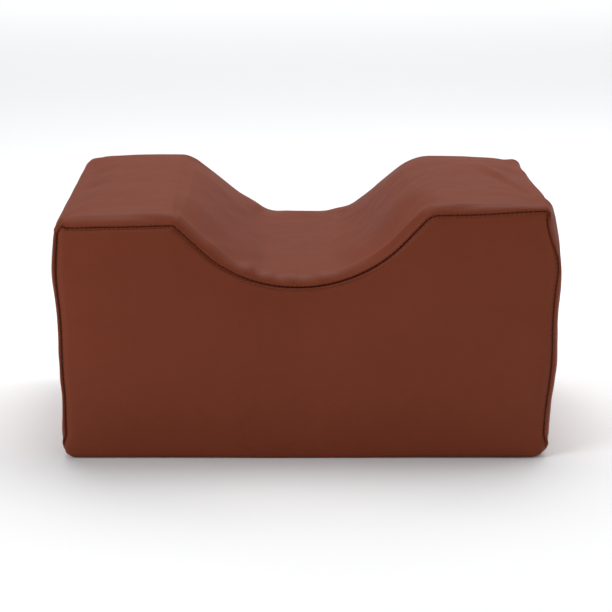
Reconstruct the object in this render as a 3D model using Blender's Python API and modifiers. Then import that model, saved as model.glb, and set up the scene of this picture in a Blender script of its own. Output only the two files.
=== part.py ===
"""Contoured spa neck pillow: a cut foam block inside a sewn, zipped cover of artificial leather.

Metres, +Z up. The origin is on the table, under the middle of the pillow, and the front faces -Y.
The pillow's outline is drawn once, as a function of how far inside the outer face it lies. Every
foam face, leather sheet, seam allowance and thread follows that outline at its own inset.
"""

import math

import bmesh
import bpy
from mathutils import Vector

# The pillow's outside
WIDTH = 0.300
DEPTH = 0.200
HEIGHT = 0.152
TOP_CORNER_RADIUS = 0.009
BASE_CORNER_RADIUS = 0.014

# The neck valley across the top
VALLEY_WIDTH = 0.148
VALLEY_DEPTH = 0.039
RAMP_ANGLE = math.radians(44)
SHOULDER_RADIUS = 0.016

# Sewing
LEATHER = 0.0012
EDGE_ROLL = 0.004  # radius with which the boxing rolls over on to the front and back faces
SEAM_ALLOWANCE = 0.008
THREAD_DIAMETER = 0.0005
THREAD_SEAT = 0.0004  # depth of the thread's centre in its groove
FIT_GAP = 0.0003  # between pieces that touch

# Zip
ZIP_HEIGHT = 0.034  # of the zip's centre line above the table
ZIP_END_ROOM = 0.0246  # from each end of the tape to the chain
TAPE_WIDTH = 0.0108
TAPE_THICKNESS = 0.0005
COIL_WIDTH = 0.0020  # of one half of the chain
COIL_THICKNESS = 0.0016
HEM_WIDTH = 0.010
HEM_STITCH_INSET = 0.0025
STOP_LENGTH = 0.0020

# Zip slider and its pull
SLIDER_LENGTH = 0.0100
SLIDER_TAIL_WIDTH = 0.0073
SLIDER_SHOULDER_WIDTH = 0.0081
SLIDER_PLATE = 0.0010
SLIDER_SIDE_ROOM = 0.0010  # between the slider and each hem
POST_RADIUS = 0.0009
POST_FROM_NOSE = 0.0019
BRIDGE_LENGTH = 0.0064
BRIDGE_WIDTH = 0.0022
BRIDGE_THICKNESS = 0.0008
PULL_LENGTH = 0.022
PULL_WIDTH = 0.0058
PULL_THICKNESS = 0.0010

# Worked out from the above
TURN_RADIUS = LEATHER + 0.0004  # outside radius of the leather where it turns in at a seam
BOXING_FLANGE = EDGE_ROLL + TURN_RADIUS  # inset of the outer face of the boxing's allowance
PANEL_FLANGE = BOXING_FLANGE + FIT_GAP
SEAM_INSET = BOXING_FLANGE + FIT_GAP / 2
FLANGE_REACH = TURN_RADIUS + SEAM_ALLOWANCE  # depth of an allowance's tip behind the face
FOAM_INSET = LEATHER + FIT_GAP
BASE_SEAM = WIDTH / 2 - BASE_CORNER_RADIUS - 0.002  # distance of each base seam from the middle

HEM_THICKNESS = 2 * LEATHER + FIT_GAP
TAPE_OUTER = HEM_THICKNESS + FIT_GAP  # depths behind the back face
TAPE_INNER = TAPE_OUTER + TAPE_THICKNESS
COIL_INNER = TAPE_OUTER - FIT_GAP
COIL_OUTER = COIL_INNER - COIL_THICKNESS
TAPE_EDGE = POST_RADIUS + FIT_GAP  # distance of each tape's edge from the zip's centre line
COIL_HALF = COIL_WIDTH + FIT_GAP / 2
TAPE_HALF_LENGTH = WIDTH / 2 - PANEL_FLANGE - LEATHER - FIT_GAP
ZIP_CHAIN = 2 * (TAPE_HALF_LENGTH - ZIP_END_ROOM)  # between the top and bottom stops
UPPER_PLATE_INNER = COIL_OUTER - FIT_GAP
UPPER_PLATE_OUTER = UPPER_PLATE_INNER - SLIDER_PLATE
LOWER_PLATE_OUTER = TAPE_INNER + FIT_GAP
LOWER_PLATE_INNER = LOWER_PLATE_OUTER + SLIDER_PLATE
HEM_EDGE = SLIDER_SHOULDER_WIDTH / 2 + SLIDER_SIDE_ROOM

NOSE_X = ZIP_CHAIN / 2 - FIT_GAP  # the closed slider stands against the top stops
SLIDER_X = NOSE_X - SLIDER_LENGTH / 2
POST_X = NOSE_X - POST_FROM_NOSE
PIVOT_Y = DEPTH / 2 - UPPER_PLATE_OUTER + FIT_GAP + PULL_THICKNESS / 2
BRIDGE_INNER_Y = PIVOT_Y + PULL_THICKNESS / 2 + FIT_GAP
BRIDGE_OUTER_Y = BRIDGE_INNER_Y + BRIDGE_THICKNESS

OVERCUT = 0.002  # how far a cutter runs past what it cuts

MATERIALS = {  # base colour, roughness, metallic
    "leather": ((0.150, 0.040, 0.022, 1), 0.48, 0.0),
    "foam": ((0.80, 0.74, 0.58, 1), 0.95, 0.0),
    "thread": ((0.055, 0.014, 0.008, 1), 0.70, 0.0),
    "zip_tape": ((0.105, 0.032, 0.020, 1), 0.85, 0.0),
    "zip_coil": ((0.075, 0.024, 0.016, 1), 0.40, 0.0),
    "zip_metal": ((0.42, 0.36, 0.28, 1), 0.32, 1.0),
}


# ---------------------------------------------------------------- scene and shape tools


def clear_scene():
    for thing in list(bpy.data.objects):
        bpy.data.objects.remove(thing)


def make_collection(name):
    collection = bpy.data.collections.new(name)
    bpy.context.scene.collection.children.link(collection)
    return collection


def make_materials():
    for name, (colour, roughness, metallic) in MATERIALS.items():
        material = bpy.data.materials.new(name)
        material.use_nodes = True
        shader = material.node_tree.nodes["Principled BSDF"]
        shader.inputs["Base Color"].default_value = colour
        shader.inputs["Roughness"].default_value = roughness
        shader.inputs["Metallic"].default_value = metallic


def place(thing, material):
    """Puts an object in the pillow's collection, or among the cutters where it has no material."""
    home = pillow if material else cutters
    for collection in list(thing.users_collection):
        collection.objects.unlink(thing)
    home.objects.link(thing)
    if material:
        thing.data.materials.append(bpy.data.materials[material])
    else:
        thing.hide_render = True
        thing.display_type = "WIRE"
    return thing


def object_from_bmesh(name, bm, material):
    bmesh.ops.recalc_face_normals(bm, faces=bm.faces)
    mesh = bpy.data.meshes.new(name)
    bm.to_mesh(mesh)
    bm.free()
    thing = bpy.data.objects.new(name, mesh)
    bpy.context.scene.collection.objects.link(thing)
    place(thing, material)
    mesh.shade_smooth()
    mesh.set_sharp_from_angle(angle=math.radians(40))
    return thing


def lofted(name, rings, ring_is_loop, rings_wrap, material=None):
    """A closed solid over rings that have equally many points. Any opening left is filled flat."""
    bm = bmesh.new()
    rows = [[bm.verts.new(point) for point in ring] for ring in rings]
    pairs = list(zip(rows, rows[1:]))
    if rings_wrap:
        pairs.append((rows[-1], rows[0]))
    for row, following in pairs:
        count = len(row)
        for i in range(count if ring_is_loop else count - 1):
            j = (i + 1) % count
            bm.faces.new((row[i], row[j], following[j], following[i]))
    openings = [edge for edge in bm.edges if edge.is_boundary]
    bmesh.ops.holes_fill(bm, edges=openings, sides=0)
    return object_from_bmesh(name, bm, material)


def block(name, low, high, material=None, bevel=0.0):
    """A box between two corners, its edges rounded by bevel."""
    low, high = Vector(low), Vector(high)
    bm = bmesh.new()
    bmesh.ops.create_cube(bm, size=1)
    bmesh.ops.scale(bm, vec=high - low, verts=bm.verts)
    bmesh.ops.translate(bm, vec=(low + high) / 2, verts=bm.verts)
    thing = object_from_bmesh(name, bm, material)
    if bevel:
        rounding = thing.modifiers.new("rounded_edges", "BEVEL")
        rounding.width = bevel
        rounding.segments = 2
    return thing


def rod(name, start, end, radius, material=None, sides=12):
    """A round bar between two points."""
    start, end = Vector(start), Vector(end)
    bm = bmesh.new()
    bmesh.ops.create_cone(
        bm, cap_ends=True, segments=sides, radius1=radius, radius2=radius, depth=(end - start).length
    )
    turn = Vector((0, 0, 1)).rotation_difference(end - start).to_matrix()
    bmesh.ops.rotate(bm, matrix=turn, verts=bm.verts)
    bmesh.ops.translate(bm, vec=(start + end) / 2, verts=bm.verts)
    return object_from_bmesh(name, bm, material)


def thread(name, points, closed):
    """A sewing thread laid along points."""
    curve = bpy.data.curves.new(name, "CURVE")
    curve.dimensions = "3D"
    curve.bevel_depth = THREAD_DIAMETER / 2
    curve.bevel_resolution = 1
    curve.use_fill_caps = True
    spline = curve.splines.new("POLY")
    spline.points.add(len(points) - 1)
    for spline_point, point in zip(spline.points, points):
        spline_point.co = (*point, 1)
    spline.use_cyclic_u = closed
    thing = bpy.data.objects.new(name, curve)
    bpy.context.scene.collection.objects.link(thing)
    return place(thing, "thread")


def plate_from_outlines(name, outlines, thickness, bevel=0.0, material=None):
    """A flat plate in the X-Z plane, centred on Y. The first outline is its edge, the rest are holes."""
    curve = bpy.data.curves.new(name, "CURVE")
    curve.dimensions = "2D"
    curve.fill_mode = "BOTH"
    curve.extrude = thickness / 2 - bevel
    curve.bevel_depth = bevel
    curve.offset = -bevel
    curve.bevel_resolution = 0
    for outline in outlines:
        spline = curve.splines.new("POLY")
        spline.points.add(len(outline) - 1)
        for spline_point, (x, z) in zip(spline.points, outline):
            spline_point.co = (x, z, 0, 1)
        spline.use_cyclic_u = True
    flat = bpy.data.objects.new(name + "_outline", curve)
    flat.rotation_euler.x = math.radians(90)
    bpy.context.scene.collection.objects.link(flat)
    bpy.context.view_layer.update()
    graph = bpy.context.evaluated_depsgraph_get()
    mesh = bpy.data.meshes.new_from_object(flat.evaluated_get(graph))
    bm = bmesh.new()
    bm.from_mesh(mesh)
    bmesh.ops.transform(bm, matrix=flat.matrix_world, verts=bm.verts)
    bmesh.ops.remove_doubles(bm, verts=bm.verts, dist=1e-6)
    bpy.data.objects.remove(flat)
    return object_from_bmesh(name, bm, material)


def boolean(thing, operation, other):
    modifier = thing.modifiers.new(f"{operation.lower()}_{other.name}", "BOOLEAN")
    modifier.operation = operation
    modifier.object = other


def arc(centre, radius, start_degrees, end_degrees, steps):
    """Points on an arc about centre, both ends included."""
    angles = [
        math.radians(start_degrees + (end_degrees - start_degrees) * i / steps) for i in range(steps + 1)
    ]
    return [(centre[0] + radius * math.cos(a), centre[1] + radius * math.sin(a)) for a in angles]


# ---------------------------------------------------------------- the pillow's outline


def rounded_corner(before, corner, after, radius, steps):
    """The arc that rounds a corner, as points from the side of before to the side of after."""
    before, corner, after = Vector(before), Vector(corner), Vector(after)
    back, forth = (before - corner).normalized(), (after - corner).normalized()
    half = back.angle(forth) / 2
    centre = corner + (back + forth).normalized() * radius / math.sin(half)
    start = corner + back * radius / math.tan(half) - centre
    turn = (math.pi - 2 * half) * (1 if start.cross(back) < 0 else -1)
    points = []
    for i in range(steps + 1):
        angle = turn * i / steps
        across = Vector((-start.y, start.x))
        points.append(tuple(centre + start * math.cos(angle) + across * math.sin(angle)))
    return points


def outline(inset):
    """(x, z) points from the right base corner over the top to the left one, inset inside the face."""
    least_radius = 0.0003
    side = WIDTH / 2 - inset
    top = HEIGHT - inset
    shoulder = VALLEY_WIDTH / 2 + inset * math.tan(RAMP_ANGLE / 2)
    run, fall = math.cos(RAMP_ANGLE), math.sin(RAMP_ANGLE)
    valley_radius = (VALLEY_WIDTH / 2 * fall - VALLEY_DEPTH * run) / (1 - run)
    valley_centre = (0, HEIGHT - VALLEY_DEPTH + valley_radius)
    ramp_degrees = math.degrees(RAMP_ANGLE)

    base_round = max(BASE_CORNER_RADIUS - inset, least_radius)
    top_round = max(TOP_CORNER_RADIUS - inset, least_radius)
    shoulder_round = max(SHOULDER_RADIUS - inset, least_radius)
    half = rounded_corner((0, inset), (side, inset), (side, top), base_round, 6)
    half += rounded_corner((side, inset), (side, top), (0, top), top_round, 5)
    ramp_foot = (shoulder - run, top - fall)
    half += rounded_corner((side, top), (shoulder, top), ramp_foot, shoulder_round, 5)
    half += arc(valley_centre, valley_radius + inset, ramp_degrees - 90, -90, 8)
    return half + [(-x, z) for x, z in reversed(half[:-1])]


def ring(y, inset, end=None):
    """The outline at one depth, as points in space. It runs on along the base to x = end and -end."""
    path = outline(inset)
    if end:
        path = [(end, inset)] + path + [(-end, inset)]
    return [Vector((x, y, z)) for x, z in path]


# ---------------------------------------------------------------- cover


def boxing_section():
    """(y, inset) outline of the boxing's leather: flat across the top, rolled over, turned in."""

    def front_half(thickness):
        turn_centre = (-DEPTH / 2 + TURN_RADIUS, EDGE_ROLL)
        roll_centre = (-DEPTH / 2 + EDGE_ROLL, EDGE_ROLL)
        tip = (-DEPTH / 2 + FLANGE_REACH, BOXING_FLANGE - thickness)
        turn = arc(turn_centre, TURN_RADIUS - thickness, 90, 180, 3)
        roll = arc(roll_centre, EDGE_ROLL - thickness, 180, 270, 4)
        return [tip] + turn + roll[1:]

    def whole(thickness):
        front = front_half(thickness)
        return front + [(-y, inset) for y, inset in reversed(front)]

    return whole(0) + whole(LEATHER)[::-1]


def make_boxing_band():
    """One strip that goes up one side, over the top and down the other side."""
    rings = [ring(y, inset, BASE_SEAM + FIT_GAP / 2) for y, inset in boxing_section()]
    band = lofted("boxing_band", rings, False, True, "leather")
    for side in (1, -1):
        flange = base_flange("boxing_base_flange", side * (BASE_SEAM + FIT_GAP / 2), side)
        boolean(band, "UNION", flange)
        boolean(band, "DIFFERENCE", base_groove(side))
    return band


def make_bottom_panel():
    end = BASE_SEAM - FIT_GAP / 2
    rings = [[Vector((x, y, inset)) for x in (-end, end)] for y, inset in boxing_section()]
    panel = lofted("bottom_panel", rings, False, True, "leather")
    for side in (1, -1):
        boolean(panel, "UNION", base_flange("bottom_flange", side * end, -side))
        boolean(panel, "DIFFERENCE", base_groove(side))
    return panel


def base_flange(name, x, towards):
    """A seam allowance turned up at a base seam. It starts at x and is one leather thick."""
    half = DEPTH / 2 - FLANGE_REACH - 2 * FIT_GAP
    near, far = sorted((x, x + towards * LEATHER))
    return block(name, (near, -half, LEATHER / 2), (far, half, LEATHER + SEAM_ALLOWANCE))


def base_groove(side):
    """The hollow between the two turned edges of a base seam, where its thread lies."""
    half = DEPTH / 2 - EDGE_ROLL
    x = side * BASE_SEAM
    radius = THREAD_DIAMETER / 2 + FIT_GAP
    return rod("base_groove", (x, -half, THREAD_SEAT), (x, half, THREAD_SEAT), radius)


def panel_rings(facing):
    """Rings over a flat panel's leather: from its outer face round the turned-in edge and back."""
    edge = PANEL_FLANGE + TURN_RADIUS
    centre = (-DEPTH / 2 + TURN_RADIUS, edge)
    tip = -DEPTH / 2 + FLANGE_REACH
    outer = arc(centre, TURN_RADIUS, 180, 270, 3)
    inner = arc(centre, TURN_RADIUS - LEATHER, 270, 180, 3)
    section = outer + [(tip, PANEL_FLANGE), (tip, PANEL_FLANGE + LEATHER)] + inner
    return [ring(-facing * y, inset) for y, inset in section]


def make_front_panel():
    return lofted("front_panel", panel_rings(-1), True, False, "leather")


def make_back_panels():
    """The back is two panels, one over the zip and one under it, each with its zip edge hemmed."""
    for name, side in (("back_upper_panel", 1), ("back_lower_panel", -1)):
        panel = lofted(name, panel_rings(1), True, False, "leather")
        boolean(panel, "DIFFERENCE", beyond_the_zip_edge(side))
        boolean(panel, "UNION", hem(side))


def beyond_the_zip_edge(side):
    """Everything on the other side of the cut edge of one back panel."""
    cut_edge = ZIP_HEIGHT + side * (HEM_EDGE + HEM_THICKNESS / 2)
    far = ZIP_HEIGHT - side * (HEIGHT + WIDTH)
    low, high = sorted((cut_edge, far))
    reach = (WIDTH / 2 + OVERCUT, DEPTH / 2 + OVERCUT)
    return block("zip_edge_cutter", (-reach[0], 0, low), (reach[0], reach[1], high))


def hem(side):
    """The folded edge along the zip: two thicknesses of leather with a round nose."""
    half = WIDTH / 2 - PANEL_FLANGE - LEATHER / 2
    nose_radius = (HEM_THICKNESS - FIT_GAP / 3) / 2
    middle = DEPTH / 2 - HEM_THICKNESS / 2
    root = HEM_EDGE + HEM_WIDTH
    nose = arc((HEM_EDGE + nose_radius, middle), nose_radius, 90, 270, 6)
    section = [(root, middle + nose_radius)] + nose + [(root, middle - nose_radius)]
    rings = [[Vector((x, y, ZIP_HEIGHT + side * z)) for z, y in section] for x in (-half, half)]
    return lofted("hem", rings, True, False)


# ---------------------------------------------------------------- foam


def make_foam_core():
    """The cut foam block, relieved where the turned-in leather and the zip press into it."""
    centre = (-DEPTH / 2 + EDGE_ROLL, EDGE_ROLL)
    front = arc(centre, EDGE_ROLL - FOAM_INSET, 180, 270, 3)
    section = front + [(-y, inset) for y, inset in reversed(front)]
    foam = lofted("foam_core", [ring(y, inset) for y, inset in section], True, False, "foam")
    boolean(foam, "DIFFERENCE", seam_slot(-1))
    boolean(foam, "DIFFERENCE", seam_slot(1))
    for side in (1, -1):
        boolean(foam, "DIFFERENCE", base_seam_slot(side))
    boolean(foam, "DIFFERENCE", zip_pocket())
    boolean(foam, "DIFFERENCE", slider_channel())
    return foam


def seam_slot(facing):
    """The slit round one face in which both turned-in edges of the seam lie."""
    outside = DEPTH / 2 + OVERCUT
    bottom = DEPTH / 2 - FLANGE_REACH - FIT_GAP
    low = BOXING_FLANGE - LEATHER - FIT_GAP
    high = PANEL_FLANGE + LEATHER + FIT_GAP
    section = [(outside, low), (bottom, low), (bottom, high), (outside, high)]
    return lofted("seam_slot", [ring(facing * y, inset) for y, inset in section], True, True)


def base_seam_slot(side):
    half_width = FIT_GAP / 2 + LEATHER + FIT_GAP
    half = DEPTH / 2 - FLANGE_REACH - FIT_GAP
    x = side * BASE_SEAM
    top = LEATHER + SEAM_ALLOWANCE + FIT_GAP
    return block("base_seam_slot", (x - half_width, -half, -OVERCUT), (x + half_width, half, top))


def zip_pocket():
    half_height = HEM_EDGE + HEM_WIDTH + FIT_GAP
    half = TAPE_HALF_LENGTH + 2 * FIT_GAP
    floor = DEPTH / 2 - TAPE_INNER - FIT_GAP
    low = (-half, floor, ZIP_HEIGHT - half_height)
    return block("zip_pocket", low, (half, DEPTH / 2 + OVERCUT, ZIP_HEIGHT + half_height))


def slider_channel():
    half_height = SLIDER_SHOULDER_WIDTH / 2 + 2 * FIT_GAP
    half = ZIP_CHAIN / 2 + STOP_LENGTH + FIT_GAP
    floor = DEPTH / 2 - LOWER_PLATE_INNER - FIT_GAP
    low = (-half, floor, ZIP_HEIGHT - half_height)
    return block("slider_channel", low, (half, DEPTH / 2 + OVERCUT, ZIP_HEIGHT + half_height))


# ---------------------------------------------------------------- threads


def make_seam_threads():
    for name, facing in (("front_seam_thread", -1), ("back_seam_thread", 1)):
        thread(name, ring(facing * (DEPTH / 2 - THREAD_SEAT), SEAM_INSET), True)
    half = DEPTH / 2 - EDGE_ROLL - FIT_GAP
    for name, side in (("base_seam_thread_right", 1), ("base_seam_thread_left", -1)):
        ends = [(side * BASE_SEAM, y, THREAD_SEAT) for y in (-half, half)]
        thread(name, ends, False)


def make_hem_threads():
    """The row of stitches that holds each hem to its zip tape."""
    half = TAPE_HALF_LENGTH - PANEL_FLANGE
    y = DEPTH / 2 + THREAD_DIAMETER / 2 + FIT_GAP / 3
    for name, side in (("hem_thread_upper", 1), ("hem_thread_lower", -1)):
        z = ZIP_HEIGHT + side * (HEM_EDGE + HEM_STITCH_INSET)
        thread(name, [(-half, y, z), (half, y, z)], False)


# ---------------------------------------------------------------- zip


def make_tapes_and_coils():
    coil_end = POST_X - POST_RADIUS - FIT_GAP
    for half_name, side in (("upper", 1), ("lower", -1)):
        low, high = sorted((side * TAPE_EDGE, side * (TAPE_EDGE + TAPE_WIDTH)))
        block(
            f"zip_tape_{half_name}",
            (-TAPE_HALF_LENGTH, DEPTH / 2 - TAPE_INNER, ZIP_HEIGHT + low),
            (TAPE_HALF_LENGTH, DEPTH / 2 - TAPE_OUTER, ZIP_HEIGHT + high),
            "zip_tape",
        )
        low, high = sorted((side * FIT_GAP / 2, side * COIL_HALF))
        block(
            f"zip_coil_{half_name}",
            (-ZIP_CHAIN / 2 + FIT_GAP, DEPTH / 2 - COIL_INNER, ZIP_HEIGHT + low),
            (coil_end, DEPTH / 2 - COIL_OUTER, ZIP_HEIGHT + high),
            "zip_coil",
            bevel=COIL_THICKNESS / 4,
        )


def make_stops():
    """A clip on the edge of each tape stops the closed slider, and one across both stops it open."""
    clip_top = DEPTH / 2 - COIL_OUTER
    clip_bottom = DEPTH / 2 - LOWER_PLATE_INNER
    slot_low, slot_high = DEPTH / 2 - TAPE_INNER - FIT_GAP, DEPTH / 2 - TAPE_OUTER + FIT_GAP
    web = TAPE_EDGE - FIT_GAP
    for half_name, side in (("upper", 1), ("lower", -1)):
        low, high = sorted((side * FIT_GAP / 2, side * COIL_HALF))
        x = ZIP_CHAIN / 2
        clip = block(
            f"zip_top_stop_{half_name}",
            (x, clip_bottom, ZIP_HEIGHT + low),
            (x + STOP_LENGTH, clip_top, ZIP_HEIGHT + high),
            "zip_metal",
            bevel=FIT_GAP,
        )
        low, high = sorted((side * web, side * (COIL_HALF + OVERCUT)))
        slot = block(
            "tape_slot",
            (x - OVERCUT, slot_low, ZIP_HEIGHT + low),
            (x + STOP_LENGTH + OVERCUT, slot_high, ZIP_HEIGHT + high),
        )
        boolean(clip, "DIFFERENCE", slot)
    x = -ZIP_CHAIN / 2
    clip = block(
        "zip_bottom_stop",
        (x - STOP_LENGTH, clip_bottom, ZIP_HEIGHT - COIL_HALF),
        (x, clip_top, ZIP_HEIGHT + COIL_HALF),
        "zip_metal",
        bevel=FIT_GAP,
    )
    for side in (1, -1):
        low, high = sorted((side * web, side * (COIL_HALF + OVERCUT)))
        slot = block(
            "tape_slot",
            (x - STOP_LENGTH - OVERCUT, slot_low, ZIP_HEIGHT + low),
            (x + OVERCUT, slot_high, ZIP_HEIGHT + high),
        )
        boolean(clip, "DIFFERENCE", slot)


def slider_outline():
    """(x, z) outline of a slider plate: a round tail, and shoulders that are wider at the nose."""
    tail, shoulder = SLIDER_TAIL_WIDTH / 2, SLIDER_SHOULDER_WIDTH / 2
    half = SLIDER_LENGTH / 2
    corner = 0.0016
    tail_side = rounded_corner((-half, 0), (-half, tail), (0, tail), corner, 4)
    nose_side = rounded_corner((0, tail), (half, shoulder), (half, 0), corner, 4)
    upper_edge = tail_side + nose_side
    return upper_edge + [(x, -z) for x, z in reversed(upper_edge)]


def make_slider():
    rim_height = COIL_INNER - UPPER_PLATE_OUTER
    middle = (SLIDER_X, 0, ZIP_HEIGHT)
    edge = 0.0002
    slider = plate_from_outlines("zip_slider", [slider_outline()], rim_height, edge, "zip_metal")
    slider.location = (middle[0], DEPTH / 2 - (COIL_INNER + UPPER_PLATE_OUTER) / 2, middle[2])
    lower = plate_from_outlines("slider_lower_plate", [slider_outline()], SLIDER_PLATE, edge)
    lower.location = (middle[0], DEPTH / 2 - (LOWER_PLATE_OUTER + LOWER_PLATE_INNER) / 2, middle[2])

    channel_half = COIL_HALF + FIT_GAP
    channel = block(
        "chain_channel",
        (SLIDER_X - SLIDER_LENGTH, DEPTH / 2 - COIL_INNER - OVERCUT / 4, ZIP_HEIGHT - channel_half),
        (NOSE_X + OVERCUT, DEPTH / 2 - UPPER_PLATE_INNER, ZIP_HEIGHT + channel_half),
    )
    post = rod(
        "slider_post",
        (POST_X, DEPTH / 2 - LOWER_PLATE_INNER + SLIDER_PLATE / 2, ZIP_HEIGHT),
        (POST_X, DEPTH / 2 - UPPER_PLATE_OUTER - SLIDER_PLATE / 2, ZIP_HEIGHT),
        POST_RADIUS,
    )
    bridge_root = DEPTH / 2 - UPPER_PLATE_OUTER - SLIDER_PLATE / 2
    bridge = block(
        "slider_bridge",
        (SLIDER_X - BRIDGE_LENGTH / 2, bridge_root, ZIP_HEIGHT - BRIDGE_WIDTH / 2),
        (SLIDER_X + BRIDGE_LENGTH / 2, BRIDGE_OUTER_Y, ZIP_HEIGHT + BRIDGE_WIDTH / 2),
        bevel=BRIDGE_THICKNESS / 2,
    )
    foot = BRIDGE_THICKNESS * 1.5
    eye = block(
        "bridge_eye",
        (SLIDER_X - BRIDGE_LENGTH / 2 + foot, DEPTH / 2 - UPPER_PLATE_OUTER, ZIP_HEIGHT - BRIDGE_WIDTH),
        (SLIDER_X + BRIDGE_LENGTH / 2 - foot, BRIDGE_INNER_Y, ZIP_HEIGHT + BRIDGE_WIDTH),
    )
    boolean(bridge, "DIFFERENCE", eye)
    boolean(slider, "DIFFERENCE", channel)
    for piece in (lower, post, bridge):
        boolean(slider, "UNION", piece)


def make_pull():
    """The pull: a flat tab whose end bar turns under the slider's bridge. It lies along the chain."""
    half = PULL_WIDTH / 2
    bar = PULL_THICKNESS / 2
    arm = half - BRIDGE_WIDTH / 2 - FIT_GAP
    window_end = BRIDGE_LENGTH / 2 + PULL_THICKNESS
    far = PULL_LENGTH - half
    edge = arc((-far, 0), half, 90, 270, 10)
    edge += rounded_corner((-far, -half), (bar, -half), (bar, half), bar, 3)
    edge += rounded_corner((bar, -half), (bar, half), (-far, half), bar, 3)
    inner = half - arm
    window = [(-bar, -inner), (-bar, inner), (-window_end, inner), (-window_end, -inner)]
    pull = plate_from_outlines("zip_pull", [edge, window], PULL_THICKNESS, 0.0001, "zip_metal")
    pull.location = (SLIDER_X, PIVOT_Y, ZIP_HEIGHT)


clear_scene()
pillow = make_collection("contoured_neck_pillow")
cutters = make_collection("cutters")
make_materials()
make_foam_core()
make_front_panel()
make_back_panels()
make_boxing_band()
make_bottom_panel()
make_seam_threads()
make_hem_threads()
make_tapes_and_coils()
make_stops()
make_slider()
make_pull()
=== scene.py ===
import math

import bmesh
import bpy
import numpy as np
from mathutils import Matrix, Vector
from mathutils.kdtree import KDTree


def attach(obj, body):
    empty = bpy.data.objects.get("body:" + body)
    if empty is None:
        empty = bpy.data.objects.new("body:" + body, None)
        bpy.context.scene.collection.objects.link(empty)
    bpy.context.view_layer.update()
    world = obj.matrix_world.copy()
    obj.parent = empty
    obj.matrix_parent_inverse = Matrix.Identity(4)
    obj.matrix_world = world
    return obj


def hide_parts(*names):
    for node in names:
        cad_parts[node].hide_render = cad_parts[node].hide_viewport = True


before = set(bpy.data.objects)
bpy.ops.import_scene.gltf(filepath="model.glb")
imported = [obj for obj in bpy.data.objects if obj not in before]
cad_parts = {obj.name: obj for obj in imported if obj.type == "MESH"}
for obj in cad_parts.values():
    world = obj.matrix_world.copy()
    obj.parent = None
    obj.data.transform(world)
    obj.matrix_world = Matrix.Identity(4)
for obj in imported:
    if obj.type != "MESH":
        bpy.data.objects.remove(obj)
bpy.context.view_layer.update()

# A contoured spa neck pillow: a cut foam block in a sewn and zipped cover of brown artificial leather.

# ------------------------------------------------------------------ studio
# A white paper floor under soft lights: one overhead, one on each side, a weak one by the camera, and one
# behind that whitens the floor. The camera looks down a little, through a long lens.

LENS_MM = 129.4
CAMERA_PLACE = (0.0, -1.3713, 0.3746)
CAMERA_TILT_DEGREES = 12.47
FLOOR_COLOUR = (0.93, 0.93, 0.93, 1)
FLOOR_REACH = 6.0
ROOM_COLOUR = (0.95, 0.97, 1.0, 1)
ROOM_LIGHT = 0.32
# Softboxes, as (name, place, aim, size, watts)
SOFTBOXES = (
    ("overhead_softbox", (0.1, 0.45, 1.5), (0, 0, 0.1), (1.3, 1.0), 14),
    ("left_softbox", (-1.3, -1.1, 1.0), (0, 0, 0.08), (1.0, 1.0), 12.5),
    ("front_fill", (-0.3, -2.2, 0.9), (0, 0, 0.08), (1.6, 1.2), 1.0),
    ("right_softbox", (1.5, 0.5, 0.6), (0, 0, 0.1), (1.0, 1.0), 8),
    ("backdrop_light", (0, 4.1, 2.8), (0, 3.1, 0), (6.0, 3.0), 130),
)

camera_data = bpy.data.cameras.new("studio_camera")
camera_data.lens = LENS_MM
camera_data.sensor_width = 36
camera_data.clip_start = 0.05
camera = bpy.data.objects.new("studio_camera", camera_data)
camera.location = CAMERA_PLACE
camera.rotation_euler = (math.radians(90 - CAMERA_TILT_DEGREES), 0, 0)
bpy.context.scene.collection.objects.link(camera)
bpy.context.scene.camera = camera

for name, place, aim, size, watts in SOFTBOXES:
    data = bpy.data.lights.new(name, "AREA")
    data.shape = "RECTANGLE"
    data.size, data.size_y = size
    data.energy = watts
    lamp = bpy.data.objects.new(name, data)
    lamp.location = place
    lamp.rotation_euler = (Vector(aim) - Vector(place)).to_track_quat("-Z", "Y").to_euler()
    bpy.context.scene.collection.objects.link(lamp)
bpy.data.objects["backdrop_light"].visible_glossy = False


def lay_floor():
    """A flat sheet of white paper that runs past the camera's view."""
    mesh = bpy.data.meshes.new("studio_floor")
    corners = [(x * FLOOR_REACH, y * FLOOR_REACH, 0) for x, y in ((-1, -1), (1, -1), (1, 1), (-1, 1))]
    mesh.from_pydata(corners, [], [(0, 1, 2, 3)])
    paper = bpy.data.materials.new("white_paper")
    paper.use_nodes = True
    shader = paper.node_tree.nodes["Principled BSDF"]
    shader.inputs["Base Color"].default_value = FLOOR_COLOUR
    shader.inputs["Roughness"].default_value = 0.9
    mesh.materials.append(paper)
    floor = bpy.data.objects.new("studio_floor", mesh)
    bpy.context.scene.collection.objects.link(floor)


lay_floor()

world = bpy.data.worlds.new("studio_room")
world.use_nodes = True
world.node_tree.nodes["Background"].inputs["Color"].default_value = ROOM_COLOUR
world.node_tree.nodes["Background"].inputs["Strength"].default_value = ROOM_LIGHT
bpy.context.scene.world = world
bpy.context.scene.view_settings.view_transform = "Standard"


# ------------------------------------------------------------------ leather
# Artificial leather: a knitted backing under a soft coat with a fine pebbled grain. It is a warm brown,
# a little uneven in tone, with painted shade down in the seams and a painted highlight along the rolled
# edges.


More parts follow.
